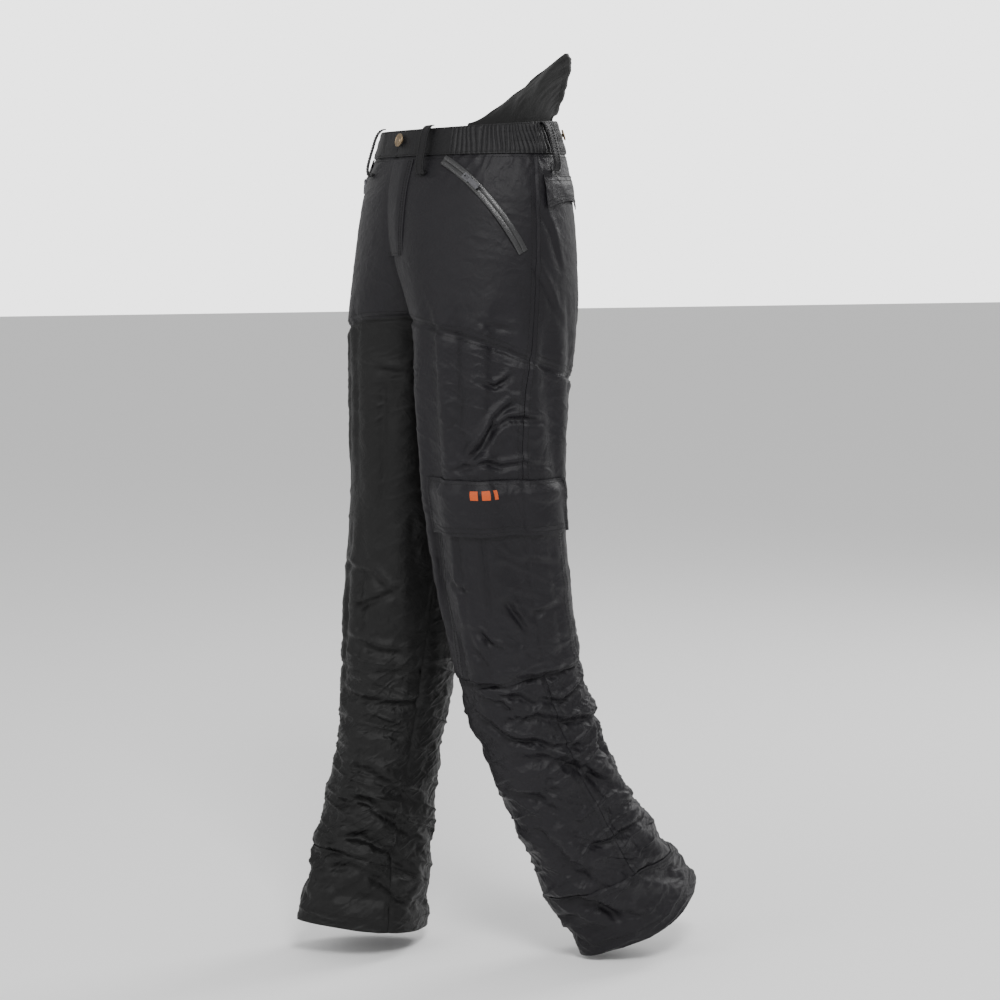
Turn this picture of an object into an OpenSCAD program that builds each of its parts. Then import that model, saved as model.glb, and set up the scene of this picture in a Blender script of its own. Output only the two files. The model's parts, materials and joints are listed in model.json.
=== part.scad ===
// Chainsaw protective trousers, standing in a walking stance, with hinged hips,
// knees, pocket flaps and kidney guard, and zips whose sliders travel.
// Origin: centre of the waist opening, at the top of the waistband.
// +Z is up, -Y is the wearer's front, +X is the wearer's left.

/* [Waistband] */
// Height of the waistband
band_h = 42; // [34:1:50]
// Thickness of the waistband's outer layer
band_t = 1.8; // [1:0.1:3]
// Width of a belt loop
loop_w = 13; // [9:1:18]
// Thickness of a belt loop's strap
loop_t = 1.6; // [1:0.1:2.4]
// Room for the belt behind a loop
loop_gap = 8.5; // [7:0.5:12]

/* [Fabric] */
// Thickness of the outer shell fabric, seams included
shell_t = 1.6; // [1:0.1:2.4]
// Thickness of the cut-protection pad
pad_t = 6; // [4:0.5:8]
// Thickness of the lining
lining_t = 1.2; // [0.8:0.1:2]
// Air between two layers of fabric
layer_gap = 1.4; // [1.2:0.1:2]

/* [Kidney guard] */
// Height of the kidney guard above the waistband at the back
guard_h = 91; // [60:1:110]
// How far its top leans out behind the waist
guard_flare = 60; // [20:1:60]

/* [Cargo pocket] */
// Height of the cargo pocket's flap
flap_h = 64; // [50:1:75]
// Roughly how far the flap over the pocket stands out; the pocket itself stands out less
pocket_depth = 13; // [8:1:16]

/* [Hem] */
// Height of the reinforced band at each hem
hem_h = 62; // [40:1:80]

/* [Closures] */
// Diameter of the waist button
button_d = 17; // [14:0.5:20]
// Diameter of a brace button
brace_d = 14; // [12:0.5:17]
// Width of a zip with both its tapes
zip_w = 13; // [10:1:16]

/* [Hidden] */

$fn = 32;
LEFT = 1;
RIGHT = -1;
cloth = [0.13, 0.13, 0.14];
cloth_dark = [0.09, 0.09, 0.10];
pad_white = [0.80, 0.78, 0.70];
lining_grey = [0.34, 0.34, 0.36];
metal = [0.45, 0.38, 0.28];
black = [0.05, 0.05, 0.05];

// ---- The garment's surface -------------------------------------------------
// Each row is one ring of the body, from the waist down: centre x, y and z, half
// width, half depth, and the slope of the ring's plane in degrees. Above the crotch
// the rings of the two sides run into each other and are cut off at x = 0.
pelvis = [
    [0, 0, -12, 142, 94, 4],
    [8, 1, -50, 146, 103, 1],
    [25, -3, -100, 142, 110, 0],
    [52, -6, -177, 122, 112, 0],
    [88, -12, -268, 88, 106, 0]
];
left_leg = [
    [93, -24, -356, 90, 97, 0],
    [94, -22, -484, 84, 84, 0],
    [94, -3, -612, 76, 76, 4],
    [95, 18, -700, 70, 70, 12],
    [97, 54, -791, 68, 66, 22],
    [99, 99, -868, 72, 74, 27],
    [99, 146, -945, 70, 88, 28],
    [99, 200, -1030, 66, 94, 26]
];
right_leg = [
    [93, -18, -356, 90, 97, 0],
    [94, -22, -484, 84, 86, 0],
    [96, -38, -612, 76, 79, 0],
    [97, -50, -710, 68, 71, 0],
    [98, -60, -790, 62, 64, -3],
    [99, -74, -868, 60, 67, -6],
    [99, -90, -950, 62, 80, -10],
    [99, -103, -1044, 66, 93, -9]
];
left_rings = concat(pelvis, left_leg);
right_rings = concat(pelvis, right_leg);
last_ring = len(left_rings) - 1;

function rings(side) = side == LEFT ? left_rings : right_rings;

// A smooth curve through four values, between the middle two
function between(a, b, c, d, t) =
    (2 * b + (c - a) * t + (2 * a - 5 * b + 4 * c - d) * t * t
        + (3 * b - a - 3 * c + d) * t * t * t) / 2;

// The ring at place s, where whole numbers are the rows of the table
function ring(side, s) =
    let (r = rings(side), i = min(floor(s), last_ring - 1))
    between(r[max(i - 1, 0)], r[i], r[i + 1], r[min(i + 2, last_ring)], s - i);

// A point of the surface: s goes down the garment, u goes round one side of it from
// the centre front or inseam (-1) over the outseam (0) to the back (1), and off is
// the distance outwards. Past 1 it goes on round the other side.
function skin(side, s, u, off) =
    u > 1 ? skin(-side, s, 2 - u, off) :
    u < -1 ? skin(-side, s, -2 - u, off) :
    let (
        r = ring(side, s),
        whole = r[0] >= r[3] ? 180 : acos(-r[0] / r[3]),
        x = r[0] + (r[3] + off) * cos(u * whole),
        y = (r[4] + off) * sin(u * whole)
    )
    [side * max(x, 0), r[1] + y * cos(r[5]), r[2] + y * sin(r[5])];

// Steps from a to b, both ends included
function steps(a, b, n) = [for (i = [0 : n]) a + (b - a) * i / n];

// The place s between hi and lo where the surface crosses a round cut of radius rad
// about an axis along X at [y, z], above that axis or below it
function round_cut(side, u, off, axis, rad, hi, lo, below = false, n = 16) =
    n == 0 ? (hi + lo) / 2 :
    let (m = (hi + lo) / 2, p = skin(side, m, u, off), d = norm([p[1], p[2]] - axis))
    (d > rad) != below ? round_cut(side, u, off, axis, rad, m, lo, below, n - 1)
                       : round_cut(side, u, off, axis, rad, hi, m, below, n - 1);

// The place s between hi and lo where the surface is at height z
function at_height(side, u, z, hi, lo, n = 16) =
    n == 0 ? (hi + lo) / 2 :
    let (m = (hi + lo) / 2)
    skin(side, m, u, 0)[2] > z ? at_height(side, u, z, m, lo, n - 1)
                               : at_height(side, u, z, hi, m, n - 1);

// A closed sheet between two grids of points with the same rows and columns
module between_grids(outer, inner, flip = false) {
    n = len(outer) - 1;
    m = len(outer[0]) - 1;
    k = (n + 1) * (m + 1);
    function o(i, j) = i * (m + 1) + j;
    function c(i, j) = k + o(i, j);
    tris = concat(
        [for (i = [0 : n - 1], j = [0 : m - 1], t = [
            [o(i, j), o(i, j + 1), o(i + 1, j + 1)], [o(i, j), o(i + 1, j + 1), o(i + 1, j)],
            [c(i, j), c(i + 1, j + 1), c(i, j + 1)], [c(i, j), c(i + 1, j), c(i + 1, j + 1)]
        ]) t],
        [for (j = [0 : m - 1], t = [
            [o(0, j + 1), o(0, j), c(0, j)], [o(0, j + 1), c(0, j), c(0, j + 1)],
            [o(n, j), o(n, j + 1), c(n, j + 1)], [o(n, j), c(n, j + 1), c(n, j)]
        ]) t],
        [for (i = [0 : n - 1], t = [
            [o(i, 0), o(i + 1, 0), c(i + 1, 0)], [o(i, 0), c(i + 1, 0), c(i, 0)],
            [o(i + 1, m), o(i, m), c(i, m)], [o(i + 1, m), c(i, m), c(i + 1, m)]
        ]) t]
    );
    points = concat([for (row = outer, p = row) p], [for (row = inner, p = row) p]);
    polyhedron(points, [for (t = tris) flip ? [t[0], t[2], t[1]] : t]);
}

// A sheet that follows the surface: us are the columns, tops and bottoms the places s
// where each column starts and ends, and out and in its two faces at each column
module sheet(side, us, tops, bottoms, rows, out, in) {
    function grid(off) = [for (i = [0 : rows]) [for (j = [0 : len(us) - 1])
        skin(side, tops[j] + (bottoms[j] - tops[j]) * i / rows, us[j], off[j])]];
    between_grids(grid(out), grid(in), side == RIGHT);
}

function same(us, value) = [for (u = us) value];

// ---- Joints ----------------------------------------------------------------
// Axes along X, as [y, z], and the radius of the round cut about each. The hips end
// at the top of the hip's cut, and the shins start at the bottom of the knee's, so
// that a thigh holds both joints.
hip_axis = [-14, -302];
hip_r = 126;
function knee_axis(side) = side == LEFT ? [17, -690] : [-48, -692];
knee_r = 84;
// Half of the clearance at a cut
cut_gap = 1;

function hip_cut(side, us, off, gap) =
    [for (u = us) round_cut(side, u, off, hip_axis, hip_r + gap, 1, 4.45)];
function knee_cut(side, us, off, gap) =
    [for (u = us) round_cut(side, u, off, knee_axis(side), knee_r + gap, 7.9, 9.8, true)];

// Columns of the front and back half of one side, and of a whole side
seam = 0.004;
front_us = concat([-1 + seam], steps(-0.9, -0.1, 8), [-seam]);
back_us = concat([seam], steps(0.1, 0.9, 8), [1 - seam]);
inner_us = concat([-0.985], steps(-0.9, 0.9, 18), [0.985]);

// The cut pad covers the front of the leg and thins out towards both seams
pad_edge = 0.2;
pad_us = steps(-0.9, -0.1, 8);
function fullness(u) = u >= 0 ? 0 : min(1, min(-u, 1 + u) / pad_edge);
pad_out = -shell_t - layer_gap - 0.4;
function pad_in(u) = pad_out - pad_t * fullness(u);
function lining_out(u) = pad_out - layer_gap - (pad_t + 0.6) * fullness(u);

// ---- Waist -----------------------------------------------------------------
band_bottom = 1;
front_end = -0.22;
back_us_band = steps(front_end + 0.004, 2 - front_end - 0.004, 30);
elastic_us = steps(-0.18, 0.62, 10);
// Where the belt loops are: the front pair, the side pair and the back one
loop_us = [-0.733, 0.15, 1, 1.85, 2.733];
loop_s = 0.7;

module waistband_front(side) {
    us = steps(-1 + seam, front_end, 9);
    color(cloth)
    sheet(side, us, same(us, 0), same(us, band_bottom), 3, same(us, band_t), same(us, 0));
}

module waistband_back() {
    us = back_us_band;
    color(cloth)
    sheet(LEFT, us, same(us, 0), same(us, band_bottom), 3, same(us, band_t), same(us, 0));
}

// The inside face of the waistband, open at the fly
module waistband_facing() {
    us = steps(-0.99, 2.99, 40);
    in = -3 * layer_gap - 1.4;
    color(cloth_dark)
    sheet(LEFT, us, same(us, 0.04), same(us, 0.96), 2, same(us, in), same(us, in - lining_t));
}

module waist_elastic(side) {
    us = elastic_us;
    out = -layer_gap;
    color(lining_grey)
    sheet(side, us, same(us, 0.1), same(us, 0.9), 2, same(us, out), same(us, out - 1.4));
}

module front_panel(side) {
    us = front_us;
    color(cloth)
    sheet(side, us, same(us, band_bottom + 0.02), hip_cut(side, us, -shell_t, cut_gap), 6,
        same(us, 0), same(us, -shell_t));
}

module seat_panel(side) {
    us = back_us;
    color(cloth)
    sheet(side, us, same(us, band_bottom + 0.02), hip_cut(side, us, -shell_t, cut_gap), 6,
        same(us, 0), same(us, -shell_t));
}

// One lining all round the pelvis, open at the fly
lining_depth = 7.8;
module hips_lining() {
    us = steps(-0.98, 2.98, 36);
    tops = same(us, band_bottom + 0.1);
    bottoms = hip_cut(LEFT, us, -lining_depth - lining_t, cut_gap);
    color(lining_grey)
    sheet(LEFT, us, tops, bottoms, 5, same(us, -lining_depth), same(us, -lining_depth - lining_t));
}

// A belt loop is a strap bowed out from the waistband, sewn down at both ends
loop_top = 31;
loop_foot = 39;
module loop_strap() {
    out = loop_gap + loop_t;
    in = loop_gap;
    rotate([90, 0, 0])
    linear_extrude(loop_w, center = true)
    difference() {
        polygon([[0, loop_top], [3, loop_top], [out, loop_top - 11], [out, 10 - loop_foot],
            [4, -loop_foot], [0, -loop_foot]]);
        polygon([[-1, loop_top - loop_t], [2.2, loop_top - loop_t], [in, loop_top - 12],
            [in, 11 - loop_foot], [2.4, loop_t - loop_foot], [-1, loop_t - loop_foot]]);
    }
}

function unit(v) = v / norm(v);

// The direction straight out of the surface
function outwards(side, s, u, off) =
    side * unit(cross(skin(side, s + 0.05, u, off) - skin(side, s - 0.05, u, off),
        skin(side, s, u + 0.01, off) - skin(side, s, u - 0.01, off)));

// Puts its children at p, with +X facing out and +Z along up
module place_on(p, out, up) {
    y = cross(up, out);
    multmatrix([
        [out[0], y[0], up[0], p[0]],
        [out[1], y[1], up[1], p[1]],
        [out[2], y[2], up[2], p[2]],
        [0, 0, 0, 1]
    ]) children();
}

// Puts its children on the surface at place s and column u, facing out along +X
module on_surface(side, s, u, off) {
    up = unit(skin(side, s - 0.05, u, off) - skin(side, s + 0.05, u, off));
    place_on(skin(side, s, u, off), outwards(side, s, u, off), up) children();
}

module belt_loops() {
    color(cloth)
    for (u = loop_us) on_surface(LEFT, loop_s, u, band_t + 0.5) loop_strap();
}

// ---- Buttons ---------------------------------------------------------------
module shank_button(d) {
    rotate([0, 90, 0]) {
        cylinder(h = 3.2, d = 5);
        translate([0, 0, 3]) cylinder(h = 1.2, d = d);
        translate([0, 0, 4.2]) difference() {
            cylinder(h = 1.6, d = d - 1);
            translate([0, 0, 0.7]) cylinder(h = 2, d = d * 0.62);
        }
        translate([0, 0, 4.2]) cylinder(h = 1.5, d = d * 0.34);
    }
}

module waist_button() {
    color(metal) on_surface(LEFT, 0.47, -0.975, band_t) shank_button(button_d);
}

brace_us = [0.56, 0.86, 1.14, 1.44];
module brace_buttons() {
    color(metal)
    for (u = brace_us) on_surface(LEFT, 0.5, u, band_t) shank_button(brace_d);
}

// ---- Fly -------------------------------------------------------------------
// Columns of the fly's flap and of the shield behind its zip
flap_cols = steps(-1.035, -0.83, 5);
shield_cols = steps(-1.17, -0.97, 5);
fly_top = band_bottom + 0.08;
fly_end = 2.95;

module fly_flap() {
    us = flap_cols;
    color(cloth)
    sheet(LEFT, us, same(us, fly_top), same(us, fly_end), 7, same(us, 10.8), same(us, 9.4));
}

module fly_shield() {
    us = shield_cols;
    out = -shell_t - layer_gap - 0.6;
    color(cloth_dark)
    sheet(LEFT, us, same(us, fly_top), same(us, fly_end), 7, same(us, out), same(us, out - 1.4));
}

// ---- Zips ------------------------------------------------------------------
// Each zip lies on a circle through three points just outside the surface, so that
// its slider travels exactly along it. A zip is a list of its side, its three places
// [s, u] and how far it stands out.
function fly_zip() = [LEFT, [[1.1, -1], [1.9, -1], [2.75, -1]], 1.8];
function hip_zip(side) = [side, [[1.16, -0.59], [2.05, -0.31], [2.85, -0.095]], 1.4];
function zip_points(z) = [for (q = z[1]) skin(z[0], q[0], q[1], z[2])];
function circle_centre(p, q, r) =
    let (a = q - p, b = r - p, n = cross(a, b), nn = n * n)
    p + (cross(n, a) * (b * b) + cross(b, n) * (a * a)) / (2 * nn);

// The axes on a zip, t from 0 at its top to 1 at its bottom: [place, outwards, along
// the zip, across it]
function zip_frame(z, t) =
    let (
        p = zip_points(z),
        c = circle_centre(p[0], p[1], p[2]),
        e1 = unit(p[0] - c),
        e2 = cross(unit(cross(p[0] - c, p[2] - c)), e1),
        w = acos(unit(p[0] - c) * unit(p[2] - c)) * t,
        along = e2 * cos(w) - e1 * sin(w),
        q = t < 0.5 ? z[1][0] + (z[1][1] - z[1][0]) * 2 * t
                    : z[1][1] + (z[1][2] - z[1][1]) * (2 * t - 1),
        normal = outwards(z[0], q[0], q[1], 0),
        out = unit(normal - along * (normal * along))
    )
    [c + norm(p[0] - c) * (e1 * cos(w) + e2 * sin(w)), out, along, cross(along, out)];

// Puts its children on a zip, facing out along +X, with +Z up along the zip
module on_zip(z, t) {
    f = zip_frame(z, t);
    place_on(f[0], f[1], -f[2]) children();
}

module zip_tapes(z, steps_along) {
    function grid(off) = [for (t = steps(0, 1, steps_along)) let (f = zip_frame(z, t))
        [for (w = steps(-zip_w / 2, zip_w / 2, 2)) f[0] + off * f[1] - w * f[3]]];
    color(black) between_grids(grid(1), grid(0));
}

module zip_slider() {
    // Faces out along +X, with the zip running along Z
    difference() {
        union() {
            translate([-1, -4, -5.5]) cube([2, 8, 11]);
            translate([0.8, -1.6, -3.4]) cube([2.2, 3.2, 6.8]);
        }
        translate([1.9, 0, 0]) rotate([90, 0, 0]) cylinder(h = 12, d = 1.5, center = true);
        translate([1, -0.85, -4]) cube([3, 1.7, 6.4]);
    }
}

module zip_pull(len) {
    // Hangs down from its pin, which lies along Y at the origin
    rotate([90, 0, 0]) cylinder(h = 3.1, d = 1.1, center = true);
    translate([-0.45, -0.6, -4.6]) cube([0.9, 1.2, 4.6]);
    translate([-0.7, 0, -4]) rotate([0, 90, 0])
    linear_extrude(1.4)
    polygon([[0, -1.4], [1.5, -3], [len - 5, -3.6], [len - 4, 0], [len - 5, 3.6], [1.5, 3],
        [0, 1.4]]);
}

slider_off = 3.5;
pin_off = slider_off + 1.9;
// Where the sliders rest along their zips
fly_slider_t = 0.07;
hip_slider_t = 0.27;

module slider_on(p, t) {
    color(metal) on_zip(p, t) translate([slider_off, 0, 0]) zip_slider();
}

module pull_on(p, t, len) {
    color(metal) on_zip(p, t) translate([pin_off, 0, 0]) zip_pull(len);
}

// ---- Pocket bags -----------------------------------------------------------
module pocket_bag(side, u0, u1, s0, s1) {
    us = steps(u0, u1, 6);
    out = -shell_t - layer_gap;
    bottoms = [for (cut = hip_cut(side, us, out - 2.4, 4)) min(s1, cut)];
    color(lining_grey)
    sheet(side, us, same(us, s0), bottoms, 4, same(us, out), same(us, out - 2.4));
}

// ---- Rear pocket flaps -----------------------------------------------------
rear_top = 1.55;
rear_drop = 38;
// Height of the flap's sewn edge, and how much its free edge is cut up in the middle
rear_z = -78;
rear_rise = 10;
module rear_flap(side) {
    us = steps(0.07, 0.56, 8);
    tops = same(us, rear_top);
    bottoms = [for (u = us)
        at_height(side, u, rear_z - rear_drop + rear_rise * sin(180 * (u - 0.07) / 0.49), 1, 3)];
    color(cloth)
    sheet(side, us, tops, bottoms, 2, same(us, 3), same(us, 1.2));
}

// ---- Kidney guard ----------------------------------------------------------
guard_us = steps(0.46, 1.54, 20);
// Height of the guard's base, and how far it sits in from the band's outer face
guard_base = -4.4;
guard_inset = 4.6;
// Distance from the guard's middle, 0 at the centre back and 1 at its ends
function guard_side(u) = abs(u - 1) / 0.54;
function guard_height(u) = 4 + (guard_h - 4) * pow(cos(90 * guard_side(u)), 1.8);
function guard_point(u, v, off) =
    let (back = 0.5 * guard_flare * v * v * guard_height(u) / guard_h,
        p = skin(LEFT, 0, u, off - guard_inset + back))
    [p[0], p[1] + back, guard_base + v * guard_height(u)];

module kidney_guard() {
    vs = steps(1, 0, 6);
    function grid(off) = [for (v = vs) [for (u = guard_us) guard_point(u, v * 0.96, off)]];
    color(cloth) between_grids(grid(1.6), grid(-1.6));
}

module kidney_guard_binding() {
    vs = steps(1, 0.975, 1);
    function grid(off) = [for (v = vs) [for (u = guard_us) guard_point(u, v, off)]];
    color(cloth_dark) between_grids(grid(2), grid(-2));
}

// ---- Thighs ----------------------------------------------------------------
module thigh_panel(side, us) {
    color(side == LEFT ? cloth : cloth_dark)
    sheet(side, us, hip_cut(side, us, 0, -cut_gap), knee_cut(side, us, 0, -cut_gap), 9,
        same(us, 0), same(us, -shell_t));
}

yoke_ring = 4.1;
module thigh_cut_pad(side) {
    us = pad_us;
    in = [for (u = us) pad_in(u)];
    color(pad_white)
    sheet(side, us, same(us, yoke_ring), knee_cut(side, us, 0, -cut_gap), 8,
        same(us, pad_out), in);
}

module thigh_lining(side) {
    us = inner_us;
    out = [for (u = us) lining_out(u)];
    in = [for (u = us) lining_out(u) - lining_t];
    color(lining_grey)
    sheet(side, us, same(us, yoke_ring + 0.15), knee_cut(side, us, 0, -cut_gap), 7, out, in);
}

// ---- Cargo pocket on the left thigh ----------------------------------------
pocket_us = steps(-0.54, 0.235, 12);
function across(u) = (u + 0.54) / 0.775;
pocket_top = 5.89;
pocket_bottom = 7.86;
// How far the pocket's outer face stands out: flat on the leg along its edges
function pocket_off(u, v) =
    3 + (pocket_depth - 4) * pow(sin(180 * across(u)), 0.5) * (v < 0.99 ? 0.55 + 0.1 * v : 0.2);
module cargo_pocket() {
    vs = [0, 0.16, 0.32, 0.48, 0.64, 0.8, 0.93, 1];
    function grid(t) = [for (v = vs) [for (u = pocket_us)
        skin(LEFT, pocket_top + (pocket_bottom - pocket_top) * v, u, pocket_off(u, v) - t)]];
    color(cloth) between_grids(grid(0), grid(1.4));
}

module flap_sheet(us, s0, s1, rows, out, in) {
    sheet(LEFT, us, same(us, s0), same(us, s1), rows, same(us, out), same(us, in));
}

flap_us = steps(-0.57, 0.26, 12);
flap_top = 5.69;
flap_bottom = flap_top + flap_h / 128;
flap_off = 15.4;
module cargo_flap() {
    color(cloth) flap_sheet(flap_us, flap_top, flap_bottom, 3, flap_off, flap_off - 1.8);
}

tape_us = steps(-0.46, 0.15, 9);
module cargo_hook_tape() {
    color(black)
    flap_sheet(tape_us, flap_bottom - 0.21, flap_bottom - 0.05, 1, flap_off - 3, flap_off - 4);
}

module cargo_loop_tape() {
    // Lies on the pocket's outer face, under the flap
    s0 = flap_bottom - 0.18;
    s1 = flap_bottom - 0.06;
    function v(s) = (s - pocket_top) / (pocket_bottom - pocket_top);
    function grid(t) = [for (s = [s0, s1]) [for (u = tape_us)
        skin(LEFT, s, u, pocket_off(u, v(s)) + t)]];
    color(black) between_grids(grid(1.5), grid(0.7));
}

// A plain slanted bar mark on the flap: three short stripes
mark_us = [-0.255, -0.215, -0.175];
module flap_mark() {
    color([0.85, 0.33, 0.12])
    for (u0 = mark_us) {
        us = steps(u0, u0 + 0.026, 1);
        sheet(LEFT, us, same(us, 5.77), same(us, 5.85), 1, same(us, flap_off + 0.7),
            same(us, flap_off + 0.15));
    }
}

// ---- Shins -----------------------------------------------------------------
module shin_panel(side, us) {
    color(side == LEFT ? cloth : cloth_dark)
    sheet(side, us, knee_cut(side, us, -shell_t, cut_gap), same(us, last_ring), 9,
        same(us, 0), same(us, -shell_t));
}

module shin_cut_pad(side) {
    us = pad_us;
    in = [for (u = us) pad_in(u)];
    color(pad_white)
    sheet(side, us, knee_cut(side, us, pad_in(-0.5), cut_gap), same(us, last_ring - 0.55), 8,
        same(us, pad_out), in);
}

module shin_lining(side) {
    us = inner_us;
    out = [for (u = us) lining_out(u)];
    in = [for (u = us) lining_out(u) - lining_t];
    color(lining_grey)
    sheet(side, us, knee_cut(side, us, pad_in(-0.5) - 3, cut_gap), same(us, last_ring - 0.3), 7,
        out, in);
}

module hem_band(side) {
    us = steps(-1 + seam, 1 - seam, 20);
    color(cloth)
    sheet(side, us, same(us, last_ring - hem_h / 90), same(us, last_ring), 3, same(us, 2),
        same(us, 0.5));
}

waistband_front(LEFT);  // waistband_front_left
waistband_front(RIGHT);  // waistband_front_right
waistband_back();
waistband_facing();
waist_elastic(LEFT);  // waist_elastic_left
waist_elastic(RIGHT);  // waist_elastic_right
front_panel(LEFT);  // front_left_panel
front_panel(RIGHT);  // front_right_panel
seat_panel(LEFT);  // seat_left_panel
seat_panel(RIGHT);  // seat_right_panel
hips_lining();
fly_flap();
fly_shield();
zip_tapes(fly_zip(), 8);  // fly_zip_tapes
slider_on(fly_zip(), fly_slider_t);  // fly_slider
pull_on(fly_zip(), fly_slider_t, 16);  // fly_pull
waist_button();
brace_buttons();
belt_loops();
zip_tapes(hip_zip(LEFT), 14);  // hip_zip_left_tapes
slider_on(hip_zip(LEFT), hip_slider_t);  // hip_zip_left_slider
pull_on(hip_zip(LEFT), hip_slider_t, 22);  // hip_zip_left_pull
zip_tapes(hip_zip(RIGHT), 14);  // hip_zip_right_tapes
slider_on(hip_zip(RIGHT), hip_slider_t);  // hip_zip_right_slider
pull_on(hip_zip(RIGHT), hip_slider_t, 22);  // hip_zip_right_pull
pocket_bag(LEFT, -0.7, -0.12, 1.2, 3.1);  // hip_pocket_bag_left
pocket_bag(RIGHT, -0.7, -0.12, 1.2, 3.1);  // hip_pocket_bag_right
pocket_bag(LEFT, 0.1, 0.55, 1.5, 2.9);  // rear_pocket_bag_left
pocket_bag(RIGHT, 0.1, 0.55, 1.5, 2.9);  // rear_pocket_bag_right
rear_flap(LEFT);  // rear_flap_left
rear_flap(RIGHT);  // rear_flap_right
kidney_guard();
kidney_guard_binding();
thigh_panel(LEFT, front_us);  // left_thigh_front
thigh_panel(LEFT, back_us);  // left_thigh_back
thigh_cut_pad(LEFT);  // left_thigh_cut_pad
thigh_lining(LEFT);  // left_thigh_lining
thigh_panel(RIGHT, front_us);  // right_thigh_front
thigh_panel(RIGHT, back_us);  // right_thigh_back
thigh_cut_pad(RIGHT);  // right_thigh_cut_pad
thigh_lining(RIGHT);  // right_thigh_lining
cargo_pocket();
cargo_loop_tape();
cargo_flap();
cargo_hook_tape();
flap_mark();
shin_panel(LEFT, front_us);  // left_shin_front
shin_panel(LEFT, back_us);  // left_shin_back
shin_cut_pad(LEFT);  // left_shin_cut_pad
shin_lining(LEFT);  // left_shin_lining
hem_band(LEFT);  // left_hem_band
shin_panel(RIGHT, front_us);  // right_shin_front
shin_panel(RIGHT, back_us);  // right_shin_back
shin_cut_pad(RIGHT);  // right_shin_cut_pad
shin_lining(RIGHT);  // right_shin_lining
hem_band(RIGHT);  // right_hem_band
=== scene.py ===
"""Chainsaw protective trousers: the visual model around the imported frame."""
import json
import math

import bpy
import numpy as np
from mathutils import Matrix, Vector

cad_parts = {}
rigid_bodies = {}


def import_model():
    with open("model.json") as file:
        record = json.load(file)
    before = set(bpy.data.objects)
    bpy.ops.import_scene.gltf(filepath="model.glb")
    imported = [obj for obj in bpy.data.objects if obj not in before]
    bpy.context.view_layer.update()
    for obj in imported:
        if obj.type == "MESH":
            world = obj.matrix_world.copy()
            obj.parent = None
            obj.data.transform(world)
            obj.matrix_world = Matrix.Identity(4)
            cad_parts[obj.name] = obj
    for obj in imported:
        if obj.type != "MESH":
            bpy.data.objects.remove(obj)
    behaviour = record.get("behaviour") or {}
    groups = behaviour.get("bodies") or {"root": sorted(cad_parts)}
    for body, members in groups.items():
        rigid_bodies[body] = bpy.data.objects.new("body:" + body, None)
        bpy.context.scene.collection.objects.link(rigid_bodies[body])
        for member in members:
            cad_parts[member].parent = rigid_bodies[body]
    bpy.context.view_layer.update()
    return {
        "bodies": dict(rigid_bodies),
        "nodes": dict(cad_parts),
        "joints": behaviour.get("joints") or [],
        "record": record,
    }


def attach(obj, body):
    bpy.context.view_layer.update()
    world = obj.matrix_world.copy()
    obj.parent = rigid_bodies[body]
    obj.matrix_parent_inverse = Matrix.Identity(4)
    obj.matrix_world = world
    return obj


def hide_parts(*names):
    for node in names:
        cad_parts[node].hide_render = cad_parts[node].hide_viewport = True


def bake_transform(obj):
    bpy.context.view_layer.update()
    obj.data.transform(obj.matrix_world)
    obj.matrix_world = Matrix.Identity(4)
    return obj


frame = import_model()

MM = 0.001
LEFT, RIGHT = 1, -1
SIDES = {LEFT: "left", RIGHT: "right"}

# ---- The garment's surface, as the part's source lays it out ----------------
# One ring a row: centre x, y, z, half width, half depth (mm), slope (degrees)
WAIST_BUTTON = (0.47, -0.975)
BRACE_US = [0.56, 0.86, 1.14, 1.44]
PELVIS = [
    [0, 0, -12, 142, 94, 4],
    [8, 1, -50, 146, 103, 1],
    [25, -3, -100, 142, 110, 0],
    [52, -6, -177, 122, 112, 0],
    [88, -12, -268, 88, 106, 0],
]
LEGS = {
    LEFT: [
        [93, -24, -356, 90, 97, 0],
        [94, -22, -484, 84, 84, 0],
        [94, -3, -612, 76, 76, 4],
        [95, 18, -700, 70, 70, 12],
        [97, 54, -791, 68, 66, 22],
        [99, 99, -868, 72, 74, 27],
        [99, 146, -945, 70, 88, 28],
        [99, 200, -1030, 66, 94, 26],
    ],
    RIGHT: [
        [93, -18, -356, 90, 97, 0],
        [94, -22, -484, 84, 86, 0],
        [96, -38, -612, 76, 79, 0],
        [97, -50, -710, 68, 71, 0],
        [98, -60, -790, 62, 64, -3],
        [99, -74, -868, 60, 67, -6],
        [99, -90, -950, 62, 80, -10],
        [99, -103, -1044, 66, 93, -9],
    ],
}
RINGS = {side: np.array(PELVIS + LEGS[side], float) for side in SIDES}
LAST = len(RINGS[LEFT]) - 1
CROTCH = 4.0


def cubic(p, t):
    """A smooth curve through four points; t goes from the second to the third."""
    a, b, c, d = p
    return (2 * b + (c - a) * t + (2 * a - 5 * b + 4 * c - d) * t**2
            + (3 * b - a - 3 * c + d) * t**3) / 2


def ring(side, s):
    """The ring at place s: whole numbers are the rows of the table."""
    table = RINGS[side]
    s = np.clip(s, 0, LAST - 1e-9)
    i = np.floor(s).astype(int)
    rows = (table[np.maximum(i - 1, 0)], table[i], table[i + 1], table[np.minimum(i + 2, LAST)])
    return cubic(rows, (s - i)[..., None])


def wrapped(side, s, u):
    """(side, u) with u brought within -1..1. Past the centre line the pelvis goes on
    round the other side, and a leg goes on round itself."""
    over, leg = np.abs(u) > 1, s >= CROTCH
    sign = np.where(over & ~leg, -side, side)
    return sign, np.where(over, np.where(leg, u - 2 * np.sign(u), 2 * np.sign(u) - u), u)


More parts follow.
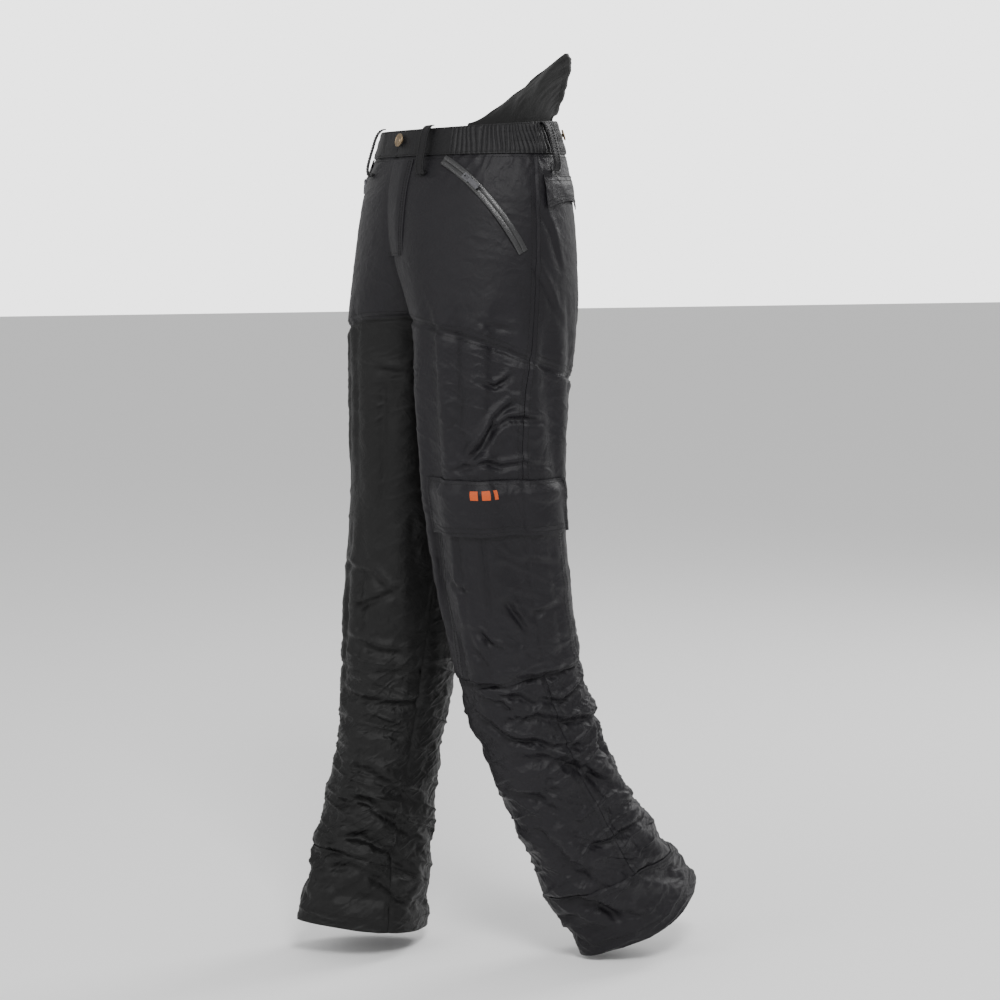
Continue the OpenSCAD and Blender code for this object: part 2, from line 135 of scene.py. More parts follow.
def base_skin(side, s, u, off=0.0):
    """A point of the plain surface, in metres: s goes down, u goes round one side."""
    s, u, off = np.broadcast_arrays(np.asarray(s, float), u, off)
    signs, u_in = wrapped(side, s, u)
    out = np.zeros(s.shape + (3,))
    for sign in SIDES:
        part = signs == sign
        if not part.any():
            continue
        r = ring(sign, s[part])
        whole = np.where(r[:, 0] >= r[:, 3], np.pi, np.arccos(np.clip(-r[:, 0] / r[:, 3], -1, 1)))
        angle = u_in[part] * whole
        o = off[part] / MM
        slope = np.radians(r[:, 5])
        x = np.maximum(r[:, 0] + (r[:, 3] + o) * np.cos(angle), 0)
        y = (r[:, 4] + o) * np.sin(angle)
        out[part] = np.stack([sign * x, r[:, 1] + y * np.cos(slope), r[:, 2] + y * np.sin(slope)], -1)
    return out * MM


# ---- The simulated surface --------------------------------------------------
ROWS_PER_RING = 10
COLUMNS = 64
WAIST_HOLD, HEM_HOLD = (2.6, 4.4), (LAST - 0.55, LAST - 0.1)
FRAMES = 40
FARTHEST = 0.016        # how far the cloth may move from its path
CLOTH_SETTINGS = dict(
    quality=6, mass=0.25, tension_stiffness=60, compression_stiffness=60, shear_stiffness=12,
    bending_stiffness=0.9, tension_damping=12, compression_damping=12, air_damping=4,
    vertex_group_mass="pins", pin_stiffness=1, use_pressure=True, uniform_pressure_force=0.35)
S_GRID = np.linspace(0, LAST, LAST * ROWS_PER_RING + 1)
U_GRID = np.linspace(-1, 1, COLUMNS + 1)


def smooth_step(x, a, b):
    t = np.clip((x - a) / (b - a), 0, 1)
    return t * t * (3 - 2 * t)


def value_noise(points, scale, seed):
    """Smooth noise in -1..1 at 3-D points, the same on every run."""
    p = points / scale
    i = np.floor(p).astype(int)
    f = p - i
    f = f * f * (3 - 2 * f)
    total = 0
    for dx in (0, 1):
        for dy in (0, 1):
            for dz in (0, 1):
                h = ((i[..., 0] + dx) * 374761393 + (i[..., 1] + dy) * 668265263
                     + (i[..., 2] + dz) * 2147483647 + seed * 974634777)
                h = (h ^ (h >> 13)) * 1274126177
                h = ((h ^ (h >> 16)) & 0xFFFF) / 32767.5 - 1
                w = ((f[..., 0] if dx else 1 - f[..., 0]) * (f[..., 1] if dy else 1 - f[..., 1])
                     * (f[..., 2] if dz else 1 - f[..., 2]))
                total = total + h * w
    return total


def slack(s):
    """How much longer the cloth is than the path it hangs along."""
    return (1 + 0.03 * smooth_step(s, 4.2, 6) + 0.075 * smooth_step(s, 6.8, 8)
            - 0.03 * smooth_step(s, 10.3, 11.6))


def simulate(grids):
    """Both sides as one cloth, pinned at the waist and hems, longer than its path."""
    flat = np.concatenate([grids[side].reshape(-1, 3) for side in SIDES])
    key = np.round(flat / 2e-5).astype(np.int64)
    _, first, where = np.unique(key, axis=0, return_index=True, return_inverse=True)
    where = where.reshape(-1)
    verts = flat[first]
    n, m = len(S_GRID), len(U_GRID)
    faces = []
    for k, side in enumerate(SIDES):
        index = where[k * n * m:(k + 1) * n * m].reshape(n, m)
        for i in range(n - 1):
            for j in range(m - 1):
                f = [index[i, j], index[i, j + 1], index[i + 1, j + 1], index[i + 1, j]]
                f = list(dict.fromkeys(int(v) for v in (f if side == LEFT else f[::-1])))
                if len(f) > 2:
                    faces.append(f)
    mesh = bpy.data.meshes.new("cloth")
    mesh.from_pydata(verts.tolist(), [], faces)
    obj = bpy.data.objects.new("cloth", mesh)
    bpy.context.scene.collection.objects.link(obj)

    s_vert = np.concatenate([np.repeat(S_GRID, m)] * 2)[first]
    drops = []
    for side in SIDES:
        g = grids[side]
        step = np.diff(g, axis=0) * slack((S_GRID[1:] + S_GRID[:-1]) / 2)[:, None, None]
        drops.append(np.concatenate([g[:1], g[:1] + np.cumsum(step, axis=0)]).reshape(-1, 3))
    rest = np.concatenate(drops)[first]
    obj.shape_key_add(name="Basis")
    rest_key = obj.shape_key_add(name="rest")
    rest_key.data.foreach_set("co", rest.astype(np.float32).ravel())
    rest_key.value = 0

    pins = obj.vertex_groups.new(name="pins")
    hold = np.maximum(1 - smooth_step(s_vert, *WAIST_HOLD), smooth_step(s_vert, *HEM_HOLD))
    for i, w in enumerate(hold):
        if w > 0.001:
            pins.add([i], float(w), "REPLACE")
    cloth = obj.modifiers.new("cloth", "CLOTH")
    for key, value in CLOTH_SETTINGS.items():
        setattr(cloth.settings, key, value)
    cloth.settings.rest_shape_key = rest_key
    cloth.settings.effector_weights.gravity = 0.6
    cloth.collision_settings.use_collision = False
    cloth.collision_settings.use_self_collision = False
    scene = bpy.context.scene
    for f in range(1, FRAMES + 1):
        scene.frame_set(f)
    shaped = obj.evaluated_get(bpy.context.evaluated_depsgraph_get())
    co = np.empty(len(verts) * 3, np.float32)
    shaped.data.vertices.foreach_get("co", co)
    moved = co.reshape(-1, 3).astype(float) - verts
    far = np.linalg.norm(moved, axis=1, keepdims=True)
    moved *= np.tanh(far / FARTHEST) * FARTHEST / np.maximum(far, 1e-9)
    scene.frame_set(1)
    bpy.data.objects.remove(obj, do_unlink=True)
    bpy.data.meshes.remove(mesh)
    new = (verts + moved)[where]
    return {side: new[k * n * m:(k + 1) * n * m].reshape(n, m, 3) for k, side in enumerate(SIDES)}


def start_grids():
    """The plain surface with the first hint of its folds."""
    grids = {}
    for side in SIDES:
        s, u = np.meshgrid(S_GRID, U_GRID, indexing="ij")
        p = base_skin(side, s, u)
        lean = np.stack([p[..., 0] * 0.9, p[..., 1] + 0.6 * p[..., 2], p[..., 2] * 2.1], -1)
        bump = value_noise(lean, 0.055, 3 + side) + 0.6 * value_noise(lean, 0.028, 8 + side)
        amount = 0.0022 * smooth_step(s, 2.5, 5) + 0.0015 * smooth_step(s, 7, 8.5)
        amount = amount * (1 - smooth_step(s, LAST - 0.4, LAST))
        edge = 1 - smooth_step(np.abs(u), 0.9, 1)
        out = base_skin(side, s, u, 0.001) - p
        grids[side] = p + out / 0.001 * (amount * bump * edge)[..., None]
    return grids


GRIDS = start_grids()
GRIDS = simulate(GRIDS)


def press_hems(grids):
    """The legs' ends are pressed flat from the sides, with a fold in front and behind."""
    s, u = np.meshgrid(S_GRID, U_GRID, indexing="ij")
    for side in SIDES:
        middle = ring(side, s)[..., 0] * side * MM
        w = 0.45 * smooth_step(s, 10.0, LAST) * np.sin(np.pi * u) ** 2
        grids[side][..., 0] += (middle - grids[side][..., 0]) * w
    return grids


GRIDS = press_hems(GRIDS)
CLOTH = np.stack([GRIDS[RIGHT], GRIDS[LEFT]])


def place(side, s, u):
    """A point of the simulated surface."""
    s, u = np.broadcast_arrays(np.asarray(s, float), np.asarray(u, float))
    sign, u = wrapped(side, s, u)
    k = (sign > 0).astype(int)
    x = np.clip(s, 0, LAST) * ROWS_PER_RING
    y = (np.clip(u, -1, 1) + 1) / 2 * COLUMNS
    i = np.minimum(x.astype(int), len(S_GRID) - 2)
    j = np.minimum(y.astype(int), COLUMNS - 1)
    tx, ty = (x - i)[..., None], (y - j)[..., None]
    rows = []
    for di in (-1, 0, 1, 2):
        ii = np.clip(i + di, 0, len(S_GRID) - 1)
        rows.append(cubic([CLOTH[k, ii, np.clip(j + dj, 0, COLUMNS)] for dj in (-1, 0, 1, 2)], ty))
    return cubic(rows, tx)


def directions(side, s, u):
    """Unit outward direction, and metres per unit of s and of u."""
    s, u = np.broadcast_arrays(np.asarray(s, float), np.asarray(u, float))
    ds, du = 0.06, 0.02
    down = (place(side, s + ds, u) - place(side, s - ds, u)) / (
        np.clip(s + ds, 0, LAST) - np.clip(s - ds, 0, LAST))[..., None]
    round_ = (place(side, s, u + du) - place(side, s, u - du)) / (2 * du)
    n = side * np.cross(down, round_)
    n /= np.maximum(np.linalg.norm(n, axis=-1, keepdims=True), 1e-12)
    return n, np.linalg.norm(down, axis=-1), np.linalg.norm(round_, axis=-1)


def height_of(side, u, z, lo=0.0, hi=LAST):
    """The place s where column u reaches height z (metres), by halving."""
    lo = np.full(np.shape(u), float(lo))
    hi = np.full(np.shape(u), float(hi))
    for _ in range(24):
        mid = (lo + hi) / 2
        above = base_skin(side, mid, u)[..., 2] > z
        lo, hi = np.where(above, mid, lo), np.where(above, hi, mid)
    return (lo + hi) / 2


# ---- Seams and creases ------------------------------------------------------
ELASTIC = (-0.58, 0.62)


def elastic_zone(u):
    """1 where the band is gathered on elastic, on either side of the body."""
    u = np.where(u > 1, 2 - u, u)
    return smooth_step(u, ELASTIC[0] - 0.01, ELASTIC[0] + 0.03) * (
        1 - smooth_step(u, ELASTIC[1] - 0.03, ELASTIC[1] + 0.01))


def along(xs, ys):
    """A smooth curve through given points, y for x."""
    xs, ys = np.asarray(xs, float), np.asarray(ys, float)

    def f(x):
        x = np.clip(x, xs[0], xs[-1])
        i = np.clip(np.searchsorted(xs, x, side="right") - 1, 0, len(xs) - 2)
        t = (x - xs[i]) / (xs[i + 1] - xs[i])
        slope = np.gradient(ys, xs)
        h = xs[i + 1] - xs[i]
        return ((2 * t**3 - 3 * t**2 + 1) * ys[i] + (t**3 - 2 * t**2 + t) * h * slope[i]
                + (3 * t**2 - 2 * t**3) * ys[i + 1] + (t**3 - t**2) * h * slope[i + 1])
    return f


YOKE_Z = along([-1, -0.55, -0.25, 0, 0.3, 0.6, 1],
               [-0.248, -0.257, -0.272, -0.298, -0.322, -0.328, -0.298])
SPLIT_Z = -0.53
BAND_END, END = 0.985, float(LAST)
KNEE_Z = {LEFT: along([-1, -0.5, 0, 0.5, 1], [-0.692, -0.697, -0.690, -0.668, -0.668]),
          RIGHT: along([-1, 0, 1], [-0.705, -0.70, -0.70])}
HEM_S = along([-1, -0.5, 0, 0.5, 1], [11.1, 10.95, 11.1, 11.35, 11.1])


def line_s(side, name, u):
    """The place s of a cross seam, by its name or its own s, at columns u."""
    u = np.asarray(u, float)
    if name == "yoke":
        return height_of(side, u, YOKE_Z(u), 2.5, 6)
    if name == "split":
        return height_of(side, u, SPLIT_Z, 5, 8)
    if name == "knee":
        return height_of(side, u, KNEE_Z[side](u), 6.5, 9.5)
    if name == "hem":
        return HEM_S(u)
    return np.full(u.shape, name)


def groove(distance, depth, width):
    return -depth * np.exp(-(distance / width) ** 2)


def crease(s, u, ls, lu, points, depth, width):
    """A fold along given places (s, u): a valley with its cloth pushed up on the upper side."""
    best = np.full(s.shape, 1e9)
    share, above = np.zeros(s.shape), np.zeros(s.shape)
    total = len(points) - 1
    for i in range(total):
        (s0, u0), (s1, u1) = points[i], points[i + 1]
        ax, ay = (s - s0) * ls, ((u - u0 + 1) % 2 - 1) * lu
        bx, by = (s1 - s0) * ls, (u1 - u0) * lu
        t = np.clip((ax * bx + ay * by) / np.maximum(bx**2 + by**2, 1e-12), 0, 1)
        dx, dy = ax - t * bx, ay - t * by
        d = np.hypot(dx, dy)
        near = d < best
        best = np.where(near, d, best)
        above = np.where(near, -np.sign(dx) * d, above)
        share = np.where(near, (i + t) / total, share)
    fade = np.sin(np.pi * np.clip(share * 0.94 + 0.03, 0, 1)) ** 0.5
    fade = fade * np.exp(-(np.maximum(best - 4 * width, 0) / width) ** 2)
    return depth * fade * (-np.exp(-(best / width) ** 2)
                           + 0.75 * np.exp(-((above - 1.7 * width) / (1.1 * width)) ** 2)
                           + 0.3 * np.exp(-((above + 2.2 * width) / (1.6 * width)) ** 2))


# Places (s, u), depth and width of the folds that show most
CREASES = {
    LEFT: [
        ([(5.54, -0.27), (5.36, -0.20), (5.13, -0.13), (4.93, -0.04)], 0.0062, 0.0050),
        ([(5.41, -0.20), (5.23, -0.14), (5.12, -0.07),
          (5.11, -0.01), (5.14, 0.09)], 0.0046, 0.0042),
        ([(4.67, -0.21), (4.74, -0.13), (4.66, -0.09), (4.54, -0.06)], 0.0034, 0.0036),
        ([(5.62, -0.38), (5.57, -0.26), (5.53, -0.18),
          (5.58, -0.10), (5.54, 0), (5.58, 0.15)], 0.0034, 0.0040),
        ([(3.82, -0.24), (3.90, -0.15), (3.93, -0.08)], 0.0024, 0.0040),
        ([(2.09, -0.01), (2.57, 0.10), (3.15, 0.17)], 0.0018, 0.0050),
        ([(3.01, -0.04), (3.35, 0.05), (3.81, 0.15)], 0.0020, 0.0050),
        ([(7.74, -0.23), (7.86, -0.09), (7.90, 0.03), (7.82, 0.18)], 0.0030, 0.0055),
        ([(7.80, -0.42), (7.86, -0.30), (7.94, -0.21)], 0.0036, 0.0038),
        ([(7.96, -0.34), (8.06, -0.18), (8.24, -0.10)], 0.0040, 0.0042),
        ([(8.00, -0.40), (8.10, -0.28), (8.23, -0.25)], 0.0032, 0.0036),
        ([(8.33, -0.28), (8.38, -0.11), (8.55, 0.03), (8.70, 0.25), (8.80, 0.5)], 0.0054, 0.0058),
        ([(8.20, -0.46), (8.42, -0.36), (8.56, -0.30),
          (8.66, -0.18), (8.81, -0.09), (8.97, 0.10)], 0.0060, 0.0050),
        ([(8.83, -0.27), (8.92, -0.14), (9.08, -0.06), (9.28, 0.02),
          (9.62, 0.11), (9.85, 0.2)], 0.0068, 0.0085),
        ([(8.16, -0.07), (8.28, 0.04), (8.27, 0.11), (8.15, 0.24)], 0.0052, 0.0046),
        ([(8.75, 0.30), (9.05, 0.22), (9.30, 0.25)], 0.0045, 0.0050),
        ([(9.18, -0.46), (9.36, -0.31), (9.67, -0.22)], 0.0042, 0.0060),
        ([(9.76, -0.39), (10.10, -0.33), (10.44, -0.29), (10.80, -0.21)], 0.0062, 0.0095),
        ([(10.26, -0.18), (10.44, -0.08), (10.46, 0.04), (10.43, 0.18)], 0.0048, 0.0060),
        ([(10.0, 0.10), (10.15, 0.22), (10.2, 0.4)], 0.0045, 0.0060),
        ([(10.98, -0.44), (11.04, -0.31), (11.22, -0.23),
          (11.42, -0.19), (11.65, -0.17)], 0.0056, 0.0070),
        ([(7.45, 0.45), (7.75, 0.6), (7.8, 0.8)], 0.0050, 0.0055),
        ([(8.3, 0.45), (8.5, 0.65), (8.45, 0.85)], 0.0050, 0.0055),
    ],
    RIGHT: [
        ([(7.15, -0.52), (7.00, -0.67), (6.88, -0.80)], 0.0042, 0.0055),
        ([(8.29, -0.46), (8.40, -0.68), (8.47, -0.88), (8.41, -1.03)], 0.0048, 0.0060),
        ([(9.51, -0.48), (9.60, -0.74), (9.91, -0.93), (10.07, -1.08)], 0.0050, 0.0070),
        ([(10.18, -0.53), (10.11, -0.76), (10.39, -0.96), (10.78, -1.18)], 0.0050, 0.0065),
        ([(10.84, -0.55), (10.68, -0.78), (10.86, -0.96), (11.26, -1.15)], 0.0044, 0.0060),
        ([(11.27, -0.54), (11.13, -0.77), (11.27, -0.94), (11.55, -1.09)], 0.0034, 0.0055),
        ([(6.63, -0.38), (6.73, -0.66), (6.99, -0.81)], 0.0032, 0.0055),
        ([(7.46, -0.50), (7.63, -0.72), (7.70, -0.90)], 0.0040, 0.0055),
        ([(4.5, -0.6), (4.62, -0.75), (4.6, -0.9)], 0.0026, 0.0050),
        ([(8.6, 0.1), (8.8, 0.35), (8.75, 0.6)], 0.0045, 0.0060),
        ([(9.3, 0.2), (9.5, 0.45), (9.8, 0.7)], 0.0045, 0.0065),
    ],
}


ROUND_SIDE, RING_STEP = 0.19, 0.128     # rough metres per unit of u, and of s on a leg


def ridges(across, down, long, short, turn, seed):
    """Fine winding ridges, longer one way than the other, 0 to 1."""
    c, d = math.cos(turn), math.sin(turn)
    p = np.stack([(across * c + down * d) / long, (down * c - across * d) / short, 0 * across], -1)
    p[..., :2] += 0.35 * np.stack([value_noise(p, 1.7, seed + 50), value_noise(p, 1.3, seed + 60)], -1)
    return np.clip(1 - 1.9 * np.abs(value_noise(p, 1.0, seed)), 0, 1) ** 1.5


def crumple(side, s, u):
    """Small wrinkles all over, deepest behind the knee and down the calf."""
    across, down = u * ROUND_SIDE, s * 0.105
    seed = 100 + side
    leg = smooth_step(s, 3.7, 4.5)
    low = smooth_step(s, 7.3, 8.2) * (1 - 0.5 * smooth_step(s, 11.0, 11.6))
    upper = 1 - smooth_step(s, 1.2, 2.2)
    total = (0.0003 + 0.0007 * leg + 0.0017 * low) * (
        ridges(across, down, 0.045, 0.015, 0.45, seed) * (s < 7.4)
        + ridges(across, down, 0.060, 0.017, -0.30, seed + 7) * (s >= 7.4))
    total += (0.0002 + 0.0003 * leg + 0.0008 * low) * ridges(across, down, 0.022, 0.007, 0.9, seed + 1)
    total += (0.0001 + 0.0001 * leg + 0.0003 * low) * ridges(across, down, 0.011, 0.005, -0.7, seed + 2)
    total += 0.0012 * upper * ridges(across, down, 0.008, 0.04, 0.1, seed + 3) * elastic_zone(u)
    return total * smooth_step(1 - np.abs(u), -0.005, 0.05) * smooth_step(s, 0.98, 1.1)


CROSS_SEAMS = (("yoke", 0.0034, 0.005), ("knee", 0.0026, 0.005), ("hem", 0.0014, 0.004))
SIDE_SEAM, MIDDLE_SEAM = (0.0011, 0.003), (0.0012, 0.004)


def relief(side, s, u, ls, lu):
    """What seams and folds add to the surface, outwards, in metres."""
    s, u = np.broadcast_arrays(s, u)
    r = crumple(side, s, u)
    for points, depth, width in CREASES[side]:
        r = r + crease(s, u, ls, lu, points, depth, width)
    for name, depth, width in CROSS_SEAMS:
        r = r + groove((s - line_s(side, name, u)) * ls, depth, width)
    return r + groove(u * lu, *SIDE_SEAM) + groove((1 - np.abs(u)) * lu, *MIDDLE_SEAM)


# ---- Meshes -----------------------------------------------------------------
def mesh_object(name, verts, faces, uvs=None, normals=None, materials=(), mat_of=None):
    """A new object. uvs and normals are per corner; a zero normal is worked out."""
    mesh = bpy.data.meshes.new(name)
    mesh.from_pydata([tuple(v) for v in verts], [], faces)
    for p in mesh.polygons:
        p.use_smooth = True
    if mat_of is not None:
        mesh.polygons.foreach_set("material_index", mat_of)
    if uvs is not None:
        layer = mesh.uv_layers.new(name="UVMap")
        layer.data.foreach_set("uv", np.asarray(uvs, np.float32).ravel())
    if normals is not None:
        mesh.normals_split_custom_set([tuple(n) for n in normals])
    for m in materials:
        mesh.materials.append(m)
    obj = bpy.data.objects.new(name, mesh)
    bpy.context.scene.collection.objects.link(obj)
    return obj


def stitches(path, outs, pitch=0.0034, length=0.0024, radius=0.00032):
    """A row of raised thread dashes along path, as (verts, faces)."""
    path = np.asarray(path)
    at = np.concatenate([[0], np.cumsum(np.linalg.norm(np.diff(path, axis=0), axis=1))])
    starts = np.arange(0.4 * pitch, at[-1] - length, pitch)
    where = starts[:, None] + np.array([0.0, 0.2, 0.8, 1.0]) * length
    p = np.stack([np.interp(where, at, path[:, k]) for k in range(3)], -1)
    o = np.stack([np.interp(where, at, outs[:, k]) for k in range(3)], -1)
    o /= np.maximum(np.linalg.norm(o, axis=-1, keepdims=True), 1e-9)
    d = (p[:, -1] - p[:, 0])[:, None]
    d = d / np.maximum(np.linalg.norm(d, axis=-1, keepdims=True), 1e-9)
    across = np.cross(d, o)
    size = radius * np.array([0.35, 1, 1, 0.35])[:, None, None]
    lift = radius * np.array([-0.2, 0.75, 0.75, -0.2])[:, None, None]
    turn = (2 * np.pi * np.arange(5) / 5)[:, None]
    verts = (p[:, :, None] + (lift + size * np.sin(turn)) * o[:, :, None]
             + size * np.cos(turn) * across[:, :, None]).reshape(-1, 3)
    one = [[5 * i + k, 5 * i + (k + 1) % 5, 5 * i + 5 + (k + 1) % 5, 5 * i + 5 + k]
           for i in range(3) for k in range(5)] + [[4, 3, 2, 1, 0], [15, 16, 17, 18, 19]]
    faces = [[20 * j + i for i in f] for j in range(len(starts)) for f in one]
    return verts.tolist(), faces


def shell_from(name, outer, inner, materials, flip=False, threads=()):
    """A closed shell between two grids that reach one row and column past it each way,
    so that its normals go on smoothly into its neighbours. threads is a list of
    (verts, faces) that take the second material."""
    o, c = outer[1:-1, 1:-1], inner[1:-1, 1:-1]
    n, m = o.shape[:2]

    def grid_normals(g, sign):
        d = np.cross(g[2:, 1:-1] - g[:-2, 1:-1], g[1:-1, 2:] - g[1:-1, :-2])
        d /= np.maximum(np.linalg.norm(d, axis=-1, keepdims=True), 1e-12)
        return d * sign
    turn = -1 if flip else 1
    normals_o = grid_normals(outer, turn).reshape(-1, 3)
    normals_c = grid_normals(inner, -turn).reshape(-1, 3)
    across = np.concatenate([[0], np.cumsum(np.linalg.norm(np.diff(o[n // 2], axis=0), axis=-1))])
    down = np.concatenate([[0], np.cumsum(np.linalg.norm(np.diff(o[:, m // 2], axis=0), axis=-1))])
    uv = np.stack(np.meshgrid(down, across, indexing="ij")[::-1], -1).reshape(-1, 2)
    k = n * m
    verts = np.concatenate([o.reshape(-1, 3), c.reshape(-1, 3)])
    index = np.arange(k).reshape(n, m)
    a, b = index[:-1, :-1].ravel(), index[:-1, 1:].ravel()
    d, e = index[1:, 1:].ravel(), index[1:, :-1].ravel()
    front = np.stack([a, e, d, b], 1)
    back = np.stack([a, b, d, e], 1) + k
    border = np.concatenate([index[0, :], index[1:, -1], index[-1, -2::-1], index[-2:0:-1, 0]])
    nxt = np.roll(border, -1)
    rim = np.stack([border, nxt, nxt + k, border + k], 1)
    if flip:
        front, back, rim = front[:, ::-1], back[:, ::-1], rim[:, ::-1]
    faces = np.concatenate([front, back, rim])
    corner_n = np.concatenate([normals_o[front.ravel()], normals_c[back.ravel() - k],
                               np.zeros((rim.size, 3))])
    corner_uv = np.concatenate([uv[front.ravel()], uv[back.ravel() - k], uv[rim.ravel() % k]])
    faces = faces.tolist()
    verts = verts.tolist()
    mats = [0] * len(faces)
    for tv, tf in threads:
        shift = len(verts)
        verts += [list(v) for v in tv]
        faces += [[shift + i for i in f] for f in tf]
        mats += [1] * len(tf)
        corners = sum(len(f) for f in tf)
        corner_n = np.concatenate([corner_n, np.zeros((corners, 3))])
        corner_uv = np.concatenate([corner_uv, np.zeros((corners, 2))])
    return mesh_object(name, verts, faces, corner_uv, corner_n, materials, mats)


def stretched(values):
    """One more value past each end."""
    return np.concatenate([[2 * values[0] - values[1]], values, [2 * values[-1] - values[-2]]])


def lay(side, s, u, off, extra=None, plain=False):
    """Points of the surface with its relief, at distance off outwards."""
    n, ls, lu = directions(side, s, u)
    r = 0 if plain else relief(side, s, u, ls, lu)
    if extra is not None:
        r = r + extra(s, u, ls, lu)
    return place(side, s, u) + n * (off + r)[..., None]


# ---- Materials --------------------------------------------------------------
def fill(tree, node, sockets):
    """Set a node's inputs to values, or link them to other nodes' outputs."""
    for key, value in sockets.items():
        if isinstance(value, bpy.types.NodeSocket):
            tree.links.new(value, node.inputs[key])
        elif value is not None:
            node.inputs[key].default_value = value


def add(tree, kind, sockets, **settings):
    node = tree.nodes.new(kind)
    for key, value in settings.items():
        setattr(node, key, value)
    fill(tree, node, sockets)
    return node


def new_material(name):
    m = bpy.data.materials.new(name)
    m.use_nodes = True
    return m, m.node_tree, m.node_tree.nodes["Principled BSDF"]


def mixed(tree, kind, fac, a, b):
    return add(tree, "ShaderNodeMix", {0: fac, 6: a, 7: b}, data_type="RGBA", blend_type=kind).outputs[2]


def bump(tree, height, strength, distance, normal=None):
    sockets = {"Strength": strength, "Distance": distance, "Height": height, "Normal": normal}
    return add(tree, "ShaderNodeBump", sockets).outputs["Normal"]


def cloth_material(name, dark, light, roughness, sheen, weave, crinkle, specular=0.24):
    """Woven nylon: a fine weave, uneven dye, and crinkles that catch the light."""
    m, tree, bsdf = new_material(name)
    where = add(tree, "ShaderNodeTexCoord", {})

    def noise(scale, detail, distortion=0.0):
        sockets = {"Scale": scale, "Detail": detail, "Distortion": distortion,
                   "Vector": where.outputs["Object"]}
        return add(tree, "ShaderNodeTexNoise", sockets).outputs["Fac"]

    def maths(operation, a, b):
        return add(tree, "ShaderNodeMath", {0: a, 1: b}, operation=operation).outputs[0]

    def ridge(fac, sharp):
        far = maths("ABSOLUTE", maths("SUBTRACT", fac, 0.5), 0.0)
        return maths("SUBTRACT", 1.0, maths("MULTIPLY", far, sharp))

    woven = maths("MAXIMUM", *(
        add(tree, "ShaderNodeTexWave",
            {"Scale": weave, "Distortion": 0.6, "Detail": 1, "Vector": where.outputs["UV"]},
            wave_type="BANDS", bands_direction=axis).outputs["Fac"] for axis in ("X", "Y")))
    dye = mixed(tree, "MIX", noise(11, 5), (*dark, 1), (*light, 1))
    normal = bump(tree, ridge(noise(26, 3, 0.9), 3.2), 0.55 * crinkle, 0.0040)
    normal = bump(tree, ridge(noise(70, 4, 0.6), 3.0), 0.50 * crinkle, 0.0014, normal)
    rough = add(tree, "ShaderNodeMapRange",
                {"To Min": roughness - 0.08, "To Max": roughness + 0.1, "Value": noise(60, 4)})
    fill(tree, bsdf, {"Base Color": mixed(tree, "MULTIPLY", 0.4, dye, woven),
                      "Normal": bump(tree, woven, 0.25, 0.0002, normal),
                      "Roughness": rough.outputs["Result"], "Sheen Weight": sheen,
                      "Sheen Roughness": 0.45, "Specular IOR Level": specular})
    return m


def metal_material(name, dark, light, roughness):
    m, tree, bsdf = new_material(name)
    where = add(tree, "ShaderNodeTexCoord", {})
    wear = add(tree, "ShaderNodeTexNoise",
               {"Scale": 420, "Detail": 4, "Vector": where.outputs["Object"]}).outputs["Fac"]
    fill(tree, bsdf, {"Base Color": mixed(tree, "MIX", wear, (*dark, 1), (*light, 1)),
                      "Normal": bump(tree, wear, 0.2, 0.0001), "Metallic": 1,
                      "Roughness": roughness})
    return m


CHARCOAL = ((0.0042, 0.0037, 0.0052), (0.0088, 0.0078, 0.0104))
# Far cloth colour: a darker black fabric, darkened further as painted shade for the far leg, which hangs
# in shade
BLACK_CLOTH_AND_PAINTED_SHADE = ((0.0026, 0.0026, 0.0026), (0.0055, 0.0055, 0.0055))
HIP = cloth_material("nylon_hip", *CHARCOAL, 0.47, 0.02, 900, 0.28)
NEAR = cloth_material("nylon_near", *CHARCOAL, 0.46, 0.02, 900, 0.45)
NEAR_CALF = cloth_material("nylon_near_calf", *CHARCOAL, 0.45, 0.02, 900, 0.65)
FAR = cloth_material("nylon_far", *BLACK_CLOTH_AND_PAINTED_SHADE, 0.50, 0.01, 900, 0.45)
FAR_CALF = cloth_material("nylon_far_calf", *BLACK_CLOTH_AND_PAINTED_SHADE, 0.49, 0.01, 900, 0.65)
BAND = cloth_material("nylon_band", (0.0036, 0.0034, 0.0040), (0.0070, 0.0066, 0.0078),
                      0.5, 0.01, 900, 0.3)
LINING = cloth_material("lining_knit", (0.045, 0.045, 0.05), (0.08, 0.08, 0.085), 0.85, 0.3, 500, 0.2)
FIBRE = cloth_material("cut_fibre", (0.50, 0.48, 0.38), (0.66, 0.64, 0.55), 0.9, 0.3, 300, 0.8)
THREAD = cloth_material("thread", (0.006, 0.006, 0.006), (0.012, 0.012, 0.012), 0.5, 0.05, 3000, 0.1)
TAPE = cloth_material("tape_black", (0.004, 0.004, 0.004), (0.008, 0.008, 0.008),
                      0.7, 0.05, 1500, 0.1)
GLOSS = cloth_material("zip_cover", (0.006, 0.006, 0.007), (0.012, 0.012, 0.013),
                       0.27, 0.0, 1500, 0.15, 0.7)
ORANGE = cloth_material("mark_orange", (0.42, 0.060, 0.012), (0.62, 0.11, 0.022),
                        0.6, 0.1, 1800, 0.1)
BRAID = cloth_material("elastic_braid", (0.05, 0.05, 0.05), (0.08, 0.08, 0.08), 0.8, 0.2, 700, 0.1)
BRONZE = metal_material("bronze", (0.16, 0.115, 0.07), (0.38, 0.29, 0.19), 0.38)
GUNMETAL = metal_material("gunmetal", (0.07, 0.07, 0.075), (0.16, 0.16, 0.17), 0.35)


# ---- What pieces stand for, and how they move --------------------------------
def over_hip(side):
    return "hips", f"{SIDES[side]}_thigh", -0.29, -0.44


def over_knee(side):
    return f"{SIDES[side]}_thigh", f"{SIDES[side]}_shin", -0.60, -0.76


def finish(piece, nodes, move):
    """The CAD nodes a piece replaces, and how it moves: with one body; where two bodies and two heights
    are given, it is left in place with its transform baked in, and no blend is made."""
    if nodes:
        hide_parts(*nodes)
    if isinstance(move, str):
        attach(piece, move)
    else:
        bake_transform(piece)
    return piece


